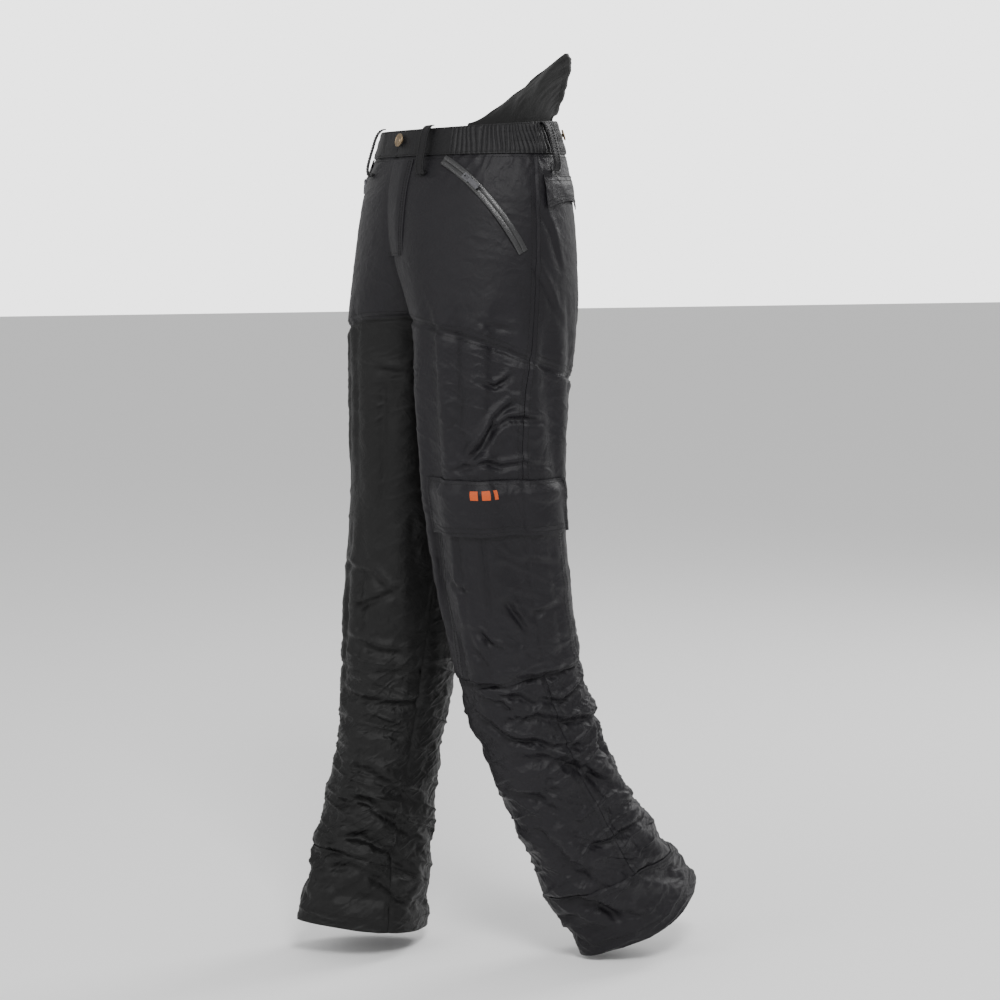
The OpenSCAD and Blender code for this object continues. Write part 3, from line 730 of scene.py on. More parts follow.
def flat_size(side, s, u):
    """The cut size of a piece that covers this part of the plain surface, with the
    slack it was cut with: (width, length) and its area, in metres."""
    p = base_skin(side, s, u)
    ease = slack(s)
    across = np.linalg.norm(np.diff(p, axis=1), axis=-1)
    down = np.linalg.norm(np.diff(p, axis=0), axis=-1) * ease[1:]
    area = (across[1:] * down[:, 1:]).sum()
    width, length = across.sum(1).max(), down.sum(0).max()
    return (float(width), float(length)), float(min(area, width * length))


LEAST_WIDTH, LEAST_SHARE = 0.0101, 0.31


def declare(piece, side, s, u, rests_on, held="hung"):
    """Works out the flat cloth a piece is cut from: its size and area, which are then left unused."""
    flat, area = flat_size(side, s, u)
    flat = tuple(max(x, LEAST_WIDTH) for x in flat)
    area = min(max(area, LEAST_SHARE * flat[0] * flat[1]), flat[0] * flat[1])


def patch(ss, us):
    """A grid (s, u); ss and us are (first, last, count)."""
    return np.meshgrid(np.linspace(*ss), np.linspace(*us), indexing="ij")


def between(side, span, top, bottom, size, lowest=LAST):
    """(s, u) of a piece between two cross seams, one row and column past its edges."""
    us = stretched(np.linspace(*span, size[0] + 1))
    tops, bottoms = line_s(side, top, us), line_s(side, bottom, us)
    s = np.clip(tops + (bottoms - tops) * stretched(np.linspace(0, 1, size[1] + 1))[:, None], 0, lowest)
    return s, np.broadcast_to(us, s.shape)


def sew(name, nodes, side, span, top, bottom, size, cloth, rests_on, move, out=0.0,
        thick=0.0016, stitch_rows=(), stitch_columns=()):
    """A panel between two cross seams, with stitches at these distances (metres) from
    its top (above 0) or bottom (below 0), and beside its sides."""
    s, u = between(side, span, top, bottom, size, LAST + 0.2)
    outer = lay(side, s, u, np.full(s.shape, out))
    inner = lay(side, s, u, np.full(s.shape, out - thick))
    if bottom == END:
        for grid in (outer, inner):
            grid[-1] = 2 * grid[-2] - grid[-3]
    n, ls, lu = directions(side, s, u)
    threads = []
    for d in stitch_rows:
        k = 1 if d > 0 else -2
        at = (s[k] + d / ls[k])[1:-1]
        threads.append(stitches(lay(side, at, u[k, 1:-1], np.full(at.shape, out)), n[k, 1:-1]))
    for d in stitch_columns:
        k = 1 if d > 0 else -2
        at = u[1:-1, k] + d / lu[1:-1, k]
        threads.append(stitches(lay(side, s[1:-1, k], at, np.full(at.shape, out)), n[1:-1, k]))
    piece = shell_from(name, outer, inner, [cloth, THREAD], side == LEFT, threads)
    s, u = between(side, span, top, bottom, (11, 15))
    declare(piece, side, s[1:-1, 1:-1], u[1:-1, 1:-1], rests_on)
    return finish(piece, nodes, move)


def height(off):
    return off if callable(off) else lambda s, u: off + 0 * u


def grid_piece(name, side, us, ss, off, thick, materials, extra=None, plain=True, threads=()):
    """A shell on the surface between fixed places; us and ss are (first, last, count)
    and off is a number or a function of (s, u). threads: ("row", s) or ("column", u)
    lines of stitches on its outer face."""
    off, us, ss = height(off), np.linspace(*us), np.linspace(*ss)
    u, s = np.meshgrid(stretched(us), stretched(ss))
    s = np.clip(s, -0.05, LAST + 0.2)
    outer = lay(side, s, u, off(s, u), extra, plain)
    inner = lay(side, s, u, off(s, u) - thick, extra, plain)
    rows = []
    for kind, at in threads:
        ends = us if kind == "row" else ss
        line = np.linspace(ends[0], ends[-1], 4 * len(ends))
        fixed = np.full(line.shape, at)
        tu, ts = (line, fixed) if kind == "row" else (fixed, line)
        rows.append(stitches(lay(side, ts, tu, off(ts, tu), extra, plain), directions(side, ts, tu)[0]))
    return shell_from(name, outer, inner, materials, side == LEFT, rows)


# ---- Waistband --------------------------------------------------------------
def gathers(u, s):
    """Fine upright puckers."""
    p = np.stack(np.broadcast_arrays(u * 7, s * 0.5, 0 * u), -1)
    phase = 30 * u + 0.6 * value_noise(p, 0.6, 5) + 0.12 * np.sin(5 * s)
    return 0.0016 * (np.abs(np.sin(np.pi * phase)) ** 0.7 - 0.6) * elastic_zone(u)


def band_extra(s, u, ls, lu):
    edge = np.minimum(smooth_step(s, 0, 0.12), 1 - smooth_step(s, 0.88, 1))
    tunnels = 0.0006 * np.sin(np.pi * s * 3) ** 2 * elastic_zone(u)
    return gathers(u, s) * (0.35 + 0.65 * edge) + tunnels


def band_piece(name, node, side, u0, u1, count, rows, columns, held):
    threads = [("row", s) for s in rows] + [("column", u) for u in columns]
    piece = grid_piece(name, side, (u0, u1, count), (0.0, BAND_END, 15), 0.0018, 0.0017,
                       [BAND, THREAD], band_extra, True, threads)
    declare(piece, side, *patch((0, 1, 6), (u0, u1, 40)), ["hips"], held)
    finish(piece, [node], "hips")


BAND_SEAM = -0.22
for side, name in SIDES.items():
    band_piece(f"{name}_front_band", f"waistband_front_{name}", side, -0.996, BAND_SEAM, 260,
               (0.07, 0.93), (), "hung")
band_piece("back_band", "waistband_back", LEFT, BAND_SEAM, 2 - BAND_SEAM, 520,
           (0.07, 0.36, 0.64, 0.93), (-0.20, 2.20), "stretched")
BAND_NAMES = ["left_front_band", "right_front_band", "back_band"]


def band_lining(name, node, u0, u1, s0, s1, off, thick, material, count):
    piece = grid_piece(name, LEFT, (u0, u1, count), (s0, s1, 8), off, thick, [material, THREAD],
                       lambda s, u, ls, lu: 0.5 * gathers(u, s), threads=[("row", 0.5 * (s0 + s1))])
    declare(piece, LEFT, *patch((s0, s1, 6), (u0, u1, 40)), BAND_NAMES)
    return finish(piece, [node], "hips")


facing = band_lining("band_facing", "waistband_facing", -0.99, 2.99, 0.04, 0.96, -0.0056, 0.0012,
                     LINING, 300)
for name, (u0, u1) in (("left", (-0.18, 0.62)), ("right", (1.38, 2.18))):
    band_lining(f"{name}_elastic", f"waist_elastic_{name}", u0, u1, 0.1, 0.9, -0.0016, 0.0014,
                BRAID, 120)

# ---- Leg and hip panels ------------------------------------------------------
SEAM = 0.0012
HALVES = {"front": ((-1 + SEAM * 0.4, -SEAM), "front_{}_panel", -0.006),
          "back": ((SEAM, 1 - SEAM * 0.4), "seat_{}_panel", 0.006)}
CLOTHS = {LEFT: (NEAR, NEAR_CALF, "shell_fabric"), RIGHT: (FAR, FAR_CALF, "shell_fabric_far")}
for side, name in SIDES.items():
    cloth, calf, slot = CLOTHS[side]
    for half, (span, node, seam) in HALVES.items():
        above = BAND_NAMES
        for label, nodes, top, bottom, size, what, its_slot, move, stitch_rows in (
                ("hip_{}", [node.format(name)], BAND_END, "yoke", (120, 120), HIP, "shell_fabric",
                 over_hip, (0.004, -0.004, -0.010)),
                ("thigh_{}_upper", [f"{name}_thigh_{half}"], "yoke", "split", (120, 170), cloth, slot,
                 over_hip, (0.004,)),
                ("thigh_{}_lower", [], "split", "knee", (120, 110), cloth, slot, over_knee,
                 (-0.004, -0.010)),
                ("calf_{}", [f"{name}_shin_{half}"], "knee", END, (120, 230), calf, slot,
                 over_knee, ())):
            above = [sew(f"{name}_{label.format(half)}", nodes, side, span, top, bottom, size, what,
                         above, move(side), stitch_rows=stitch_rows, stitch_columns=(seam,))]


# ---- Linings and cut-protection pads ----------------------------------------
PAD_OUT, PAD_THICK, LINING_THICK = -0.0034, 0.006, 0.0012
LINING_SPAN, PAD_SPAN = (-0.985, 0.985), (-0.9, -0.1)


def pad_fullness(u):
    return np.clip(np.minimum(-u, 1 + u) / 0.2, 0, 1)


def lining_off(s, u):
    return PAD_OUT - 0.0014 - (PAD_THICK + 0.0006) * pad_fullness(u)


def inner_piece(name, nodes, side, span, top, bottom, size, off, material, rests_on, move):
    """A lining or pad, kept clear of the shell where that is folded deepest."""
    s, u = between(side, span, top, bottom, size)
    off = height(off)(s, u) - 0.0035 * smooth_step(s, 3.4, 4.2) - 0.003 * smooth_step(s, 7.0, 7.6)
    pad = material is FIBRE
    thick = 0.0002 + PAD_THICK * pad_fullness(u) if pad else LINING_THICK
    piece = shell_from(name, lay(side, s, u, off, None, True), lay(side, s, u, off - thick, None, True),
                       [material], side == LEFT)
    if pad:
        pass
    else:
        declare(piece, side, s[1:-1, 1:-1], u[1:-1, 1:-1], rests_on)
    return finish(piece, nodes, move(side))


for side, name in SIDES.items():
    above = facing
    for label, nodes, top, bottom, rows, off, move in (
            ("hip_inner", ["hips_lining"], BAND_END, "yoke", 26, -0.0078, over_hip),
            ("inner_upper", [f"{name}_thigh_lining"], "yoke", "split", 30, lining_off, over_hip),
            ("inner_lower", [], "split", "knee", 20, lining_off, over_knee),
            ("inner_shin", [f"{name}_shin_lining"], "knee", END - 0.3, 40, lining_off, over_knee)):
        above = inner_piece(f"{name}_{label}", nodes, side, LINING_SPAN, top, bottom, (50, rows), off,
                            LINING, [above], move)
    for label, nodes, top, bottom, rows, move in (
            ("thigh_pad_upper", [f"{name}_thigh_cut_pad"], "yoke", "split", 30, over_hip),
            ("thigh_pad_lower", [], "split", "knee", 20, over_knee),
            ("shin_pad", [f"{name}_shin_cut_pad"], "knee", END - 0.55, 40, over_knee)):
        inner_piece(f"{name}_{label}", nodes, side, PAD_SPAN, top, bottom, (26, rows), PAD_OUT, FIBRE,
                    [], move)

# ---- Hem bands --------------------------------------------------------------
for side, name in SIDES.items():
    sew(f"{name}_hem", [f"{name}_hem_band"], side, (-0.998, 0.998), "hem", END, (220, 60),
        CLOTHS[side][0], [f"{name}_calf_front", f"{name}_calf_back"],
        f"{name}_shin", out=0.0014, thick=0.0011, stitch_rows=(0.004, 0.009, -0.012))


# ---- Things set on the surface ----------------------------------------------
def frame_at(side, s, u, off):
    """(place, out, up, across) on the plain surface."""
    p = base_skin(side, s, u, off)
    up = base_skin(side, s - 0.05, u, off) - base_skin(side, s + 0.05, u, off)
    up /= np.linalg.norm(up)
    turn = base_skin(side, s, u + 0.01, off) - base_skin(side, s, u - 0.01, off)
    out = side * np.cross(-up, turn)
    out /= np.linalg.norm(out)
    return p, out, up, np.cross(up, out)


def swept_strip(name, centre, out, up, across, path, width, thick, materials):
    """A strap: path is [(out, up)] in metres from centre, the strap's middle line."""
    path = np.array(path)
    at = np.concatenate([[0], np.cumsum(np.linalg.norm(np.diff(path, axis=0), axis=1))])
    t = np.linspace(0, at[-1], 60)
    q = np.stack([np.interp(t, at, path[:, k]) for k in (0, 1)], -1)
    for _ in range(12):
        q[1:-1] = (q[:-2] + 2 * q[1:-1] + q[2:]) / 4
    d = np.gradient(q, axis=0)
    d /= np.linalg.norm(d, axis=1, keepdims=True)
    face = np.stack([-d[:, 1], d[:, 0]], -1)
    w = np.linspace(-1, 1, 13)
    tuck = 1 - 0.35 * np.abs(w) ** 6
    mid = (centre + q[:, :1] * out + q[:, 1:] * up)[:, None] + (w * width / 2)[:, None] * across
    normal = (face[:, :1] * out + face[:, 1:] * up)[:, None]
    half = (thick / 2 * tuck)[None, :, None]
    grid_a, grid_b = mid + normal * half, mid - normal * half

    def grow(g):
        g = np.concatenate([2 * g[:1] - g[1:2], g, 2 * g[-1:] - g[-2:-1]])
        return np.concatenate([2 * g[:, :1] - g[:, 1:2], g, 2 * g[:, -1:] - g[:, -2:-1]], 1)
    threads = [stitches(grid_a[4:-4, k], normal[4:-4, 0]) for k in (2, 10)]
    return shell_from(name, grow(grid_a), grow(grid_b), materials, False, threads), at[-1]


LOOP_US = [-0.733, 0.15, 1, 1.85, 2.733]
LOOP_NAMES = ["loop_front_left", "loop_side_left", "loop_back", "loop_side_right", "loop_front_right"]
LOOP_WIDTH = 0.013
LOOP_PATH = [(0.0003, 0.0262), (0.003, 0.0266), (0.0078, 0.0185), (0.0088, 0.011), (0.0088, -0.018),
             (0.0080, -0.029), (0.0040, -0.037), (0.0005, -0.0375), (0.0006, -0.031)]
for u, label in zip(LOOP_US, LOOP_NAMES):
    spot = frame_at(LEFT, 0.7, u, 0.0023)
    loop, run = swept_strip(label, *spot, LOOP_PATH, LOOP_WIDTH, 0.0016, [BAND, THREAD])
    finish(loop, ["belt_loops"], "hips")


def lathe(name, profile, centre, out, up, material, turns=40):
    """A turned piece: profile is [(radius, height)] in mm, turned about out."""
    across = np.cross(up, out)
    verts, faces = [], []
    for r, h in profile:
        for k in range(turns):
            a = 2 * math.pi * k / turns
            verts.append(centre + MM * (h * out + r * (math.cos(a) * up + math.sin(a) * across)))
    for i in range(len(profile) - 1):
        for k in range(turns):
            j = (k + 1) % turns
            faces.append([i * turns + k, (i + 1) * turns + k, (i + 1) * turns + j, i * turns + j])
    last = (len(profile) - 1) * turns
    faces += [list(range(turns)), [last + k for k in reversed(range(turns))]]
    uvs = np.zeros((sum(len(f) for f in faces), 2))
    return mesh_object(name, verts, faces, uvs, None, [material])


BUTTON_D, BRACE_D = 17, 14
BUTTON = [(3.6, -1.6), (3.6, 0.1), (2.6, 0.3), (2.4, 2.9), (3.4, 3.2), (7.6, 3.0), (8.3, 3.4),
          (8.5, 4.1), (8.2, 4.8), (7.6, 5.1), (7.1, 4.9), (6.6, 4.4), (5.4, 4.3), (4.6, 4.5), (4.2, 5.0),
          (3.4, 5.3), (1.8, 5.5), (0.05, 5.5)]


def button(name, node, s, u, d):
    p, out, up, _ = frame_at(LEFT, s, u, 0.0018)
    size = d / BUTTON_D
    piece = lathe(name, [(r * size, h * (0.9 if size < 1 else 1)) for r, h in BUTTON], p, out, up, BRONZE)
    finish(piece, [node], "hips")


button("front_button", "waist_button", *WAIST_BUTTON, BUTTON_D)
for k, u in enumerate(BRACE_US):
    button(f"brace_button_{k + 1}", "brace_buttons", 0.5, u, BRACE_D)

# ---- Zips -------------------------------------------------------------------
FLY_ZIP = (LEFT, [(1.1, -1), (1.9, -1), (2.75, -1)], -0.0008)
HIP_PLACES = [(1.16, -0.59), (2.05, -0.31), (2.85, -0.095)]


def unit(v):
    return v / np.linalg.norm(v)


def zip_frame(zip_line, t):
    """(place, out, along, across) at t of a zip's arc, 0 at its top."""
    side, places, off = zip_line
    p, q, r = (base_skin(side, s, u, off) for s, u in places)
    a, b = q - p, r - p
    n = np.cross(a, b)
    c = p + (np.cross(n, a) * (b @ b) + np.cross(b, n) * (a @ a)) / (2 * n @ n)
    e1 = unit(p - c)
    e2 = np.cross(unit(np.cross(p - c, r - c)), e1)
    w = math.acos(unit(p - c) @ unit(r - c)) * t
    along = e2 * math.cos(w) - e1 * math.sin(w)
    (s0, u0), (s1, u1) = places[:2] if t < 0.5 else places[1:]
    part = 2 * t if t < 0.5 else 2 * t - 1
    normal = frame_at(side, s0 + (s1 - s0) * part, u0 + (u1 - u0) * part, 0)[1]
    out = unit(normal - along * (normal @ along))
    spot = c + np.linalg.norm(p - c) * (e1 * math.cos(w) + e2 * math.sin(w))
    return spot, out, along, np.cross(along, out)


def zip_strip(name, zip_line, profile, materials, t0=0.0, t1=1.0, count=80, thick=0.0008):
    """A strip along a zip: profile is [(across, out)] in metres."""
    prof = np.array(profile)
    frames = [zip_frame(zip_line, t) for t in stretched(np.linspace(t0, t1, count))]
    p, out, _, across = (np.array([f[k] for f in frames])[:, None] for k in range(4))
    prof = np.concatenate([2 * prof[:1] - prof[1:2], prof, 2 * prof[-1:] - prof[-2:-1]])
    top = p + prof[:, :1] * across + prof[:, 1:] * out
    return shell_from(name, top, top - thick * out, materials, True)


BOX_FACES = ((0, 1, 3, 2), (4, 6, 7, 5), (0, 4, 5, 1), (2, 3, 7, 6), (1, 5, 7, 3), (0, 2, 6, 4))


def zip_teeth(name, zip_line, pitch=0.0015, half=0.0021):
    """Two rows of interlocking teeth along a zip."""
    length = np.linalg.norm(zip_frame(zip_line, 0)[0] - zip_frame(zip_line, 1)[0]) * 1.03
    count = int(length / pitch)
    verts, faces = [], []
    for k in range(count):
        p, out, along, across = zip_frame(zip_line, (k + 0.5) / count)
        way = 1 if k % 2 else -1
        for x in (-0.0004 * way, half * way):
            for y in (-0.42 * pitch, 0.42 * pitch):
                for z, shrink in ((0.0006, 1), (0.0017, 0.72)):
                    verts.append(p + x * across + y * shrink * along + z * out)
        faces += [[8 * k + i for i in (f if way < 0 else f[::-1])] for f in BOX_FACES]
    return mesh_object(name, verts, faces, np.zeros((4 * len(faces), 2)), None, [GUNMETAL])


TAPE_WIDTH = 0.013
TAPE_SECTION = [(x * TAPE_WIDTH / 2, 0.0004 + 0.0004 * (1 - abs(x))) for x in np.linspace(-1, 1, 9)]
# Half the section of a hip zip's shiny cover, from where it opens: across, out
HALF_COVER = [(0.0003, 0.0007), (0.0009, 0.0014), (0.0025, 0.0015), (0.0045, 0.0015),
              (0.0060, 0.0011), (0.0066, 0.0001)]
COVER_SECTION = [(-x, y) for x, y in HALF_COVER[::-1]] + HALF_COVER


def make_zip(label, zip_line, node, covered):
    ends = np.array([zip_frame(zip_line, t)[0] for t in np.linspace(0, 1, 20)])
    tape = zip_strip(f"{label}_tape", zip_line, TAPE_SECTION, [TAPE])
    finish(tape, [node], "hips")
    if covered:
        cover = zip_strip(f"{label}_cover", zip_line, COVER_SECTION, [GLOSS], -0.02, 1.03)
        finish(cover, [node], "hips")
    else:
        finish(zip_teeth(f"{label}_teeth", zip_line), [node], "hips")


make_zip("fly_zip", FLY_ZIP, "fly_zip_tapes", False)
for side, name in SIDES.items():
    make_zip(f"hip_zip_{name}", (side, HIP_PLACES, 0.0014), f"hip_zip_{name}_tapes", True)


def flat_box(name, frame, sizes, lift, drop, node):
    """A small block lying on a zip: its sizes across, along and out."""
    p, out, along, across = frame
    w, l, h = (x / 2 for x in sizes)
    verts = [p + (lift + z * h) * out + (drop + y * l) * along + x * w * across * (0.8 if z > 0 else 1)
             for x in (-1, 1) for y in (-1, 1) for z in (-1, 1)]
    obj = mesh_object(name, verts, BOX_FACES, np.zeros((24, 2)), None, [GUNMETAL])
    for face in obj.data.polygons:
        face.use_smooth = False
    finish(obj, [node], "fly_slider")


fly_frame = zip_frame(FLY_ZIP, 0.07)
flat_box("fly_slider_body", fly_frame, (0.0065, 0.010, 0.0014), 0.0019, 0, "fly_slider")
flat_box("fly_pull_tab", fly_frame, (0.0045, 0.014, 0.0007), 0.0030, 0.008, "fly_pull")
# The hip zips' sliders and pulls are the CAD nodes themselves
for name in SIDES.values():
    for part in ("slider", "pull"):
        obj = bpy.data.objects[f"hip_zip_{name}_{part}"]
        obj.data.materials.clear()
        obj.data.materials.append(GUNMETAL)


# ---- Fly --------------------------------------------------------------------
FLY_ROWS = (1.08, 2.95)


def fly_off(s, u):
    """Sewn down at its left edge, standing over the zip at its free one."""
    rise = smooth_step(-u, 0.83, 0.90)
    base = 0.0014 - 0.0008 * smooth_step(s, 2.6, 2.95)
    return base + 0.0024 * rise * (0.3 + 0.7 * np.sin(np.pi * np.clip((s - 0.95) / 2.1, 0, 1)) ** 0.4)


fly = grid_piece("fly_flap_cloth", LEFT, (-1.035, -0.83, 26), (*FLY_ROWS, 70), fly_off, 0.0014,
                 [HIP, THREAD], threads=[("column", -0.845), ("column", -0.862), ("row", 2.91)])
finish(fly, ["fly_flap"], "hips")
shield = grid_piece("fly_shield_cloth", LEFT, (-1.17, -0.97, 14), (*FLY_ROWS, 30), -0.0036, 0.0014,
                    [LINING])
finish(shield, ["fly_shield"], "hips")

# ---- Pockets on the hips ----------------------------------------------------
BAGS = (("hip_bag", "hip_pocket_bag", "front", -0.7, -0.12, 1.2, 3.05),
        ("rear_bag", "rear_pocket_bag", "back", 0.1, 0.55, 1.5, 2.9))
REAR_TOP, REAR_SPAN = 1.55, (0.07, 0.56)
for side, name in SIDES.items():
    for label, node, half, u0, u1, s0, s1 in BAGS:
        bag = grid_piece(f"{name}_{label}", side, (u0, u1, 16), (s0, s1, 18), -0.0032, 0.0022,
                         [LINING], None, False)
        declare(bag, side, *patch((s0, s1, 8), (u0, u1, 12)), [f"{name}_hip_{half}"])
        finish(bag, [f"{node}_{name}"], "hips")

    us = stretched(np.linspace(*REAR_SPAN, 40))
    low = height_of(side, us, (-116 + 10 * np.sin(np.pi * (us - 0.07) / 0.49)) * MM, 1, 3)
    v = stretched(np.linspace(0, 1, 18))[:, None]
    s = REAR_TOP + (low - REAR_TOP) * v
    u = np.broadcast_to(us, s.shape)
    lift = 0.0012 + 0.0022 * smooth_step(v, 0.0, 0.5) + 0.0008 * np.sin(u * 23) * v
    outer, inner = lay(side, s, u, lift), lay(side, s, u, lift - 0.0013)
    outs = directions(side, s, u)[0]
    rows = [stitches(outer[k][1:-1], outs[k][1:-1]) for k in (2, 5, -3, -5)]
    flap = shell_from(f"{name}_rear_flap_cloth", outer, inner, [NEAR, THREAD], side == LEFT, rows)
    declare(flap, side, s[1:-1, 1:-1], u[1:-1, 1:-1], [f"{name}_hip_back"])
    finish(flap, [f"rear_flap_{name}"], ("hips", f"rear_flap_{name}", -0.0745, -0.085))

# ---- Kidney guard -----------------------------------------------------------
GUARD_H, GUARD_FLARE, GUARD_BASE = 91.0, 60.0, -4.4
GUARD_INSET, GUARD_FOOT, GUARD_HALF = 4.6, 5, 0.54


def guard_point(u, v, off):
    """A point of the raised back, v from 0 at the waist to 1 at its top; off in mm.
    Its foot is tucked in between the band and its facing."""
    middle = np.clip(1 - np.abs(u - 1) / GUARD_HALF, 0, 1)
    high = 4 + (GUARD_H - 4) * (0.5 * np.sin(np.pi / 2 * middle) ** 1.8 + 0.5 * middle ** 1.7)
    lean = 0.5 * GUARD_FLARE * v * v * high / GUARD_H
    p = base_skin(LEFT, 0 * u, u, (off - GUARD_INSET + lean) * MM)
    p[..., 1] += lean * MM
    p[..., 2] = (GUARD_BASE + v * high - GUARD_FOOT * np.clip(1 - v, 0, 1) ** 6) * MM
    x, z = p[..., 0], p[..., 2]
    wave = value_noise(np.stack([x + 0.4 * z, 0.3 * z, 0 * u], -1), 0.017, 21)
    fine = value_noise(np.stack([x - 0.5 * z, 0.6 * z, 0 * u], -1), 0.008, 22)
    p[..., 1] += (0.0032 * wave + 0.0016 * fine) * np.clip(v, 0, 1)
    return p


def guard_piece(name, node, v0, v1, out, rows, material, flat, rests_on, stitched, **area):
    u, v = np.meshgrid(stretched(np.linspace(0.462, 1.538, 120)), stretched(np.linspace(v1, v0, rows)))
    outer, inner = guard_point(u, v, out), guard_point(u, v, -out)
    lines = [stitches(grid[3][2:-2], np.full(grid[3][2:-2].shape, (0.0, way, 0.0)))
             for grid, way in ((outer, 1.0), (inner, -1.0)) if stitched]
    piece = shell_from(name, outer, inner, [material, THREAD], True, lines)
    return finish(piece, [node], ("hips", "kidney_guard", -0.002, 0.035))


guard = guard_piece("guard_cloth", "kidney_guard", 0.0, 0.965, 1.4, 40, FAR, (0.21, 0.1),
                    ["back_band"], True, area=0.0135)
guard_piece("guard_edge", "kidney_guard_binding", 0.95, 1.0, 2.1, 6, TAPE, (0.0101, 0.30), [guard],
            False)

# ---- Cargo pocket -----------------------------------------------------------
POCKET, POCKET_TOP, POCKET_BOTTOM = (-0.54, 0.235), 5.89, 7.86
FLAP, FLAP_TOP, FLAP_BOTTOM = (-0.57, 0.26), 5.69, 6.19
TAPE_SPAN = (-0.46, 0.15)
MARK_US, MARK_WIDTH, MARK_ROWS = (-0.255, -0.215, -0.175), 0.026, (5.77, 5.85)
LIFT = ("left_thigh", "cargo_flap", -0.4425, -0.460)
# Folds of the pocket: places (s, u), depth and width
POCKET_FOLDS = [
    ([(6.55, -0.46), (6.74, -0.33)], 0.0022, 0.0045),
    ([(7.06, -0.37), (7.30, -0.36), (7.54, -0.32)], 0.0026, 0.0050),
    ([(7.09, -0.34), (7.20, -0.29), (7.35, -0.22)], 0.0026, 0.0045),
    ([(6.79, -0.16), (6.95, -0.12), (7.17, -0.06)], 0.0028, 0.0050),
    ([(6.98, -0.01), (6.90, 0.15)], 0.0022, 0.0050),
    ([(6.43, -0.03), (6.51, 0.16)], 0.0020, 0.0050),
    ([(6.08, -0.350), (6.60, -0.362), (7.05, -0.370)], 0.0020, 0.0030),
    ([(6.08, -0.225), (6.60, -0.235), (6.95, -0.240)], 0.0020, 0.0030),
]


def share(u, span):
    return np.clip((u - span[0]) / (span[1] - span[0]), 0, 1)


def pocket_off(s, u):
    """How far the pocket stands out: flat on the leg along its edges."""
    across = np.sin(np.pi * share(u, POCKET))
    v = share(s, (POCKET_TOP, POCKET_BOTTOM))
    full = 0.55 + 0.1 * v - 0.45 * smooth_step(v, 0.93, 1)
    side_fold = 0.0012 * np.sin(np.pi * smooth_step(share(u, POCKET), 0.02, 0.12))
    down = s * RING_STEP
    p = np.stack([u * ROUND_SIDE + 0.35 * down, 0.75 * down, 0 * u], -1)
    loose = 0.0016 * value_noise(p, 0.03, 31) + 0.0008 * value_noise(p, 0.014, 32)
    folds = sum(crease(s, u, RING_STEP, 0.26, *fold) for fold in POCKET_FOLDS)
    return 0.0022 + 0.0062 * np.sqrt(across) * full + side_fold + (loose + 1.5 * folds) * np.sqrt(across)


def flap_off(s, u):
    v = share(s, (FLAP_TOP, FLAP_BOTTOM))
    across = np.sin(np.pi * share(u, FLAP)) ** 0.5
    p = np.stack([u * ROUND_SIDE, s * 0.04, 0 * u], -1)
    return (0.0019 + 0.0088 * smooth_step(v, -0.03, 0.26) * (0.5 + 0.5 * across)
            + 0.001 * v * value_noise(p, 0.02, 41))


def on_leg(name, us, ss, off, thick, materials, threads=()):
    return grid_piece(name, LEFT, us, ss, off, thick, materials, None, False, threads)


ON_THIGH = ["left_thigh_front_upper", "left_thigh_back_upper"]
pocket = on_leg("cargo_pocket_cloth", (*POCKET, 70), (POCKET_TOP, POCKET_BOTTOM, 110), pocket_off,
                0.0014, [NEAR, THREAD],
                [("row", POCKET_TOP + 0.05), ("row", POCKET_BOTTOM - 0.035),
                 ("column", POCKET[0] + 0.02), ("column", POCKET[1] - 0.02),
                 ("column", POCKET[0] + 0.045), ("column", POCKET[1] - 0.045)])
declare(pocket, LEFT, *patch((POCKET_TOP, POCKET_BOTTOM, 14), (*POCKET, 12)), ON_THIGH)
finish(pocket, ["cargo_pocket"], over_knee(LEFT))
flap = on_leg("cargo_flap_cloth", (*FLAP, 70), (FLAP_TOP, FLAP_BOTTOM, 40), flap_off, 0.0017,
              [NEAR, THREAD],
              [("row", FLAP_TOP + 0.03), ("row", FLAP_BOTTOM - 0.03), ("row", FLAP_BOTTOM - 0.075),
               ("column", FLAP[0] + 0.018), ("column", FLAP[1] - 0.018)])
declare(flap, LEFT, *patch((FLAP_TOP, FLAP_BOTTOM, 8), (*FLAP, 12)), ON_THIGH)
finish(flap, ["cargo_flap"], LIFT)
hook = on_leg("hook_tape", (*TAPE_SPAN, 30), (FLAP_BOTTOM - 0.21, FLAP_BOTTOM - 0.05, 6),
              lambda s, u: flap_off(s, u) - 0.0018, 0.0009, [TAPE])
finish(hook, ["cargo_hook_tape"], LIFT)
catch = on_leg("loop_tape", (*TAPE_SPAN, 30), (FLAP_BOTTOM - 0.18, FLAP_BOTTOM - 0.06, 6),
               lambda s, u: pocket_off(s, u) + 0.0010, 0.0009, [TAPE])
finish(catch, ["cargo_loop_tape"], over_knee(LEFT))
for k, u0 in enumerate(MARK_US):
    bar = on_leg(f"mark_bar_{k + 1}", (u0, u0 + MARK_WIDTH, 8), (*MARK_ROWS, 10),
                 lambda s, u: flap_off(s, u) + 0.0005, 0.00048, [ORANGE])
    finish(bar, ["flap_mark"], LIFT)

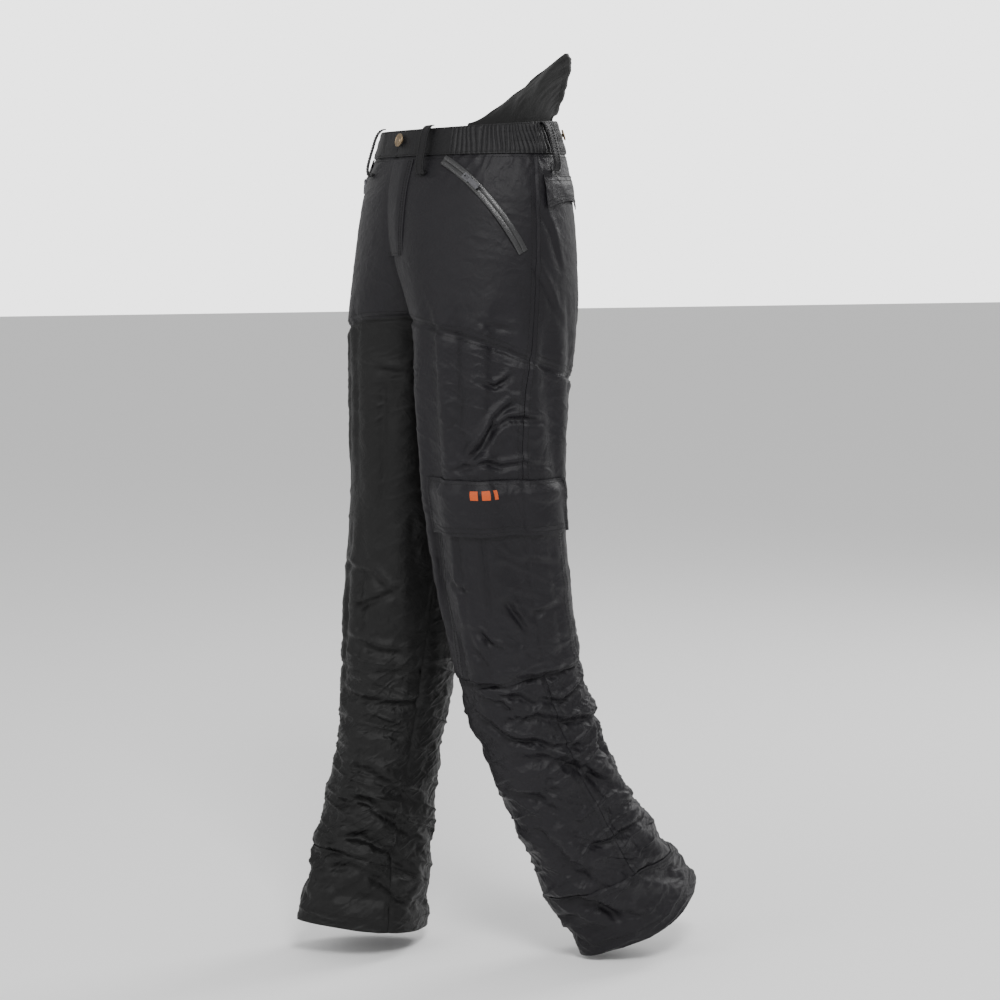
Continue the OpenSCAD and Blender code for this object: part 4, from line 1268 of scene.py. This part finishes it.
# ---- Camera, floor and light ------------------------------------------------
TARGET = Vector((0.020, 0.035, -0.484))
AZIMUTH, ELEVATION, DISTANCE = math.radians(59), math.radians(5.8), 3.15
FLOOR_Z = -1.078
WORLD_LIGHT, WORLD_SEEN = 0.75, 3.0
# Name, place, size in metres, watts
LAMPS = (("key", (2.6, -1.0, 1.9), 1.0, 95), ("fill", (0.4, -3.0, 0.6), 1.6, 22),
         ("rim", (-0.6, 2.8, 1.4), 1.2, 55))


def look(obj, target):
    obj.rotation_euler = (Vector(target) - obj.location).to_track_quat("-Z", "Y").to_euler()


def studio():
    cam_data = bpy.data.cameras.new("camera")
    cam = bpy.data.objects.new("camera", cam_data)
    bpy.context.scene.collection.objects.link(cam)
    cam.location = TARGET + DISTANCE * Vector((math.sin(AZIMUTH) * math.cos(ELEVATION),
                                               -math.cos(AZIMUTH) * math.cos(ELEVATION),
                                               math.sin(ELEVATION)))
    look(cam, TARGET)
    cam_data.lens = 88.6
    cam_data.sensor_width = 36
    bpy.context.scene.camera = cam
    world = bpy.data.worlds.new("studio")
    world.use_nodes = True
    tree = world.node_tree
    path = add(tree, "ShaderNodeLightPath", {})
    strength = add(tree, "ShaderNodeMapRange", {"To Min": WORLD_LIGHT, "To Max": WORLD_SEEN,
                                                "Value": path.outputs["Is Camera Ray"]})
    fill(tree, tree.nodes["Background"], {"Color": (1, 1, 1, 1), "Strength": strength.outputs["Result"]})
    bpy.context.scene.world = world
    bpy.ops.mesh.primitive_plane_add(size=60, location=(0, 0, FLOOR_Z))
    floor = bpy.context.object
    floor.name = "floor"
    m, tree, bsdf = new_material("floor")
    fill(tree, bsdf, {"Base Color": (0.93, 0.93, 0.93, 1), "Roughness": 0.9})
    floor.data.materials.append(m)
    for name, spot, size, watts in LAMPS:
        data = bpy.data.lights.new(name, "AREA")
        data.size = size
        data.energy = watts
        lamp = bpy.data.objects.new(name, data)
        bpy.context.scene.collection.objects.link(lamp)
        lamp.location = spot
        look(lamp, (0, 0, -0.5))


studio()
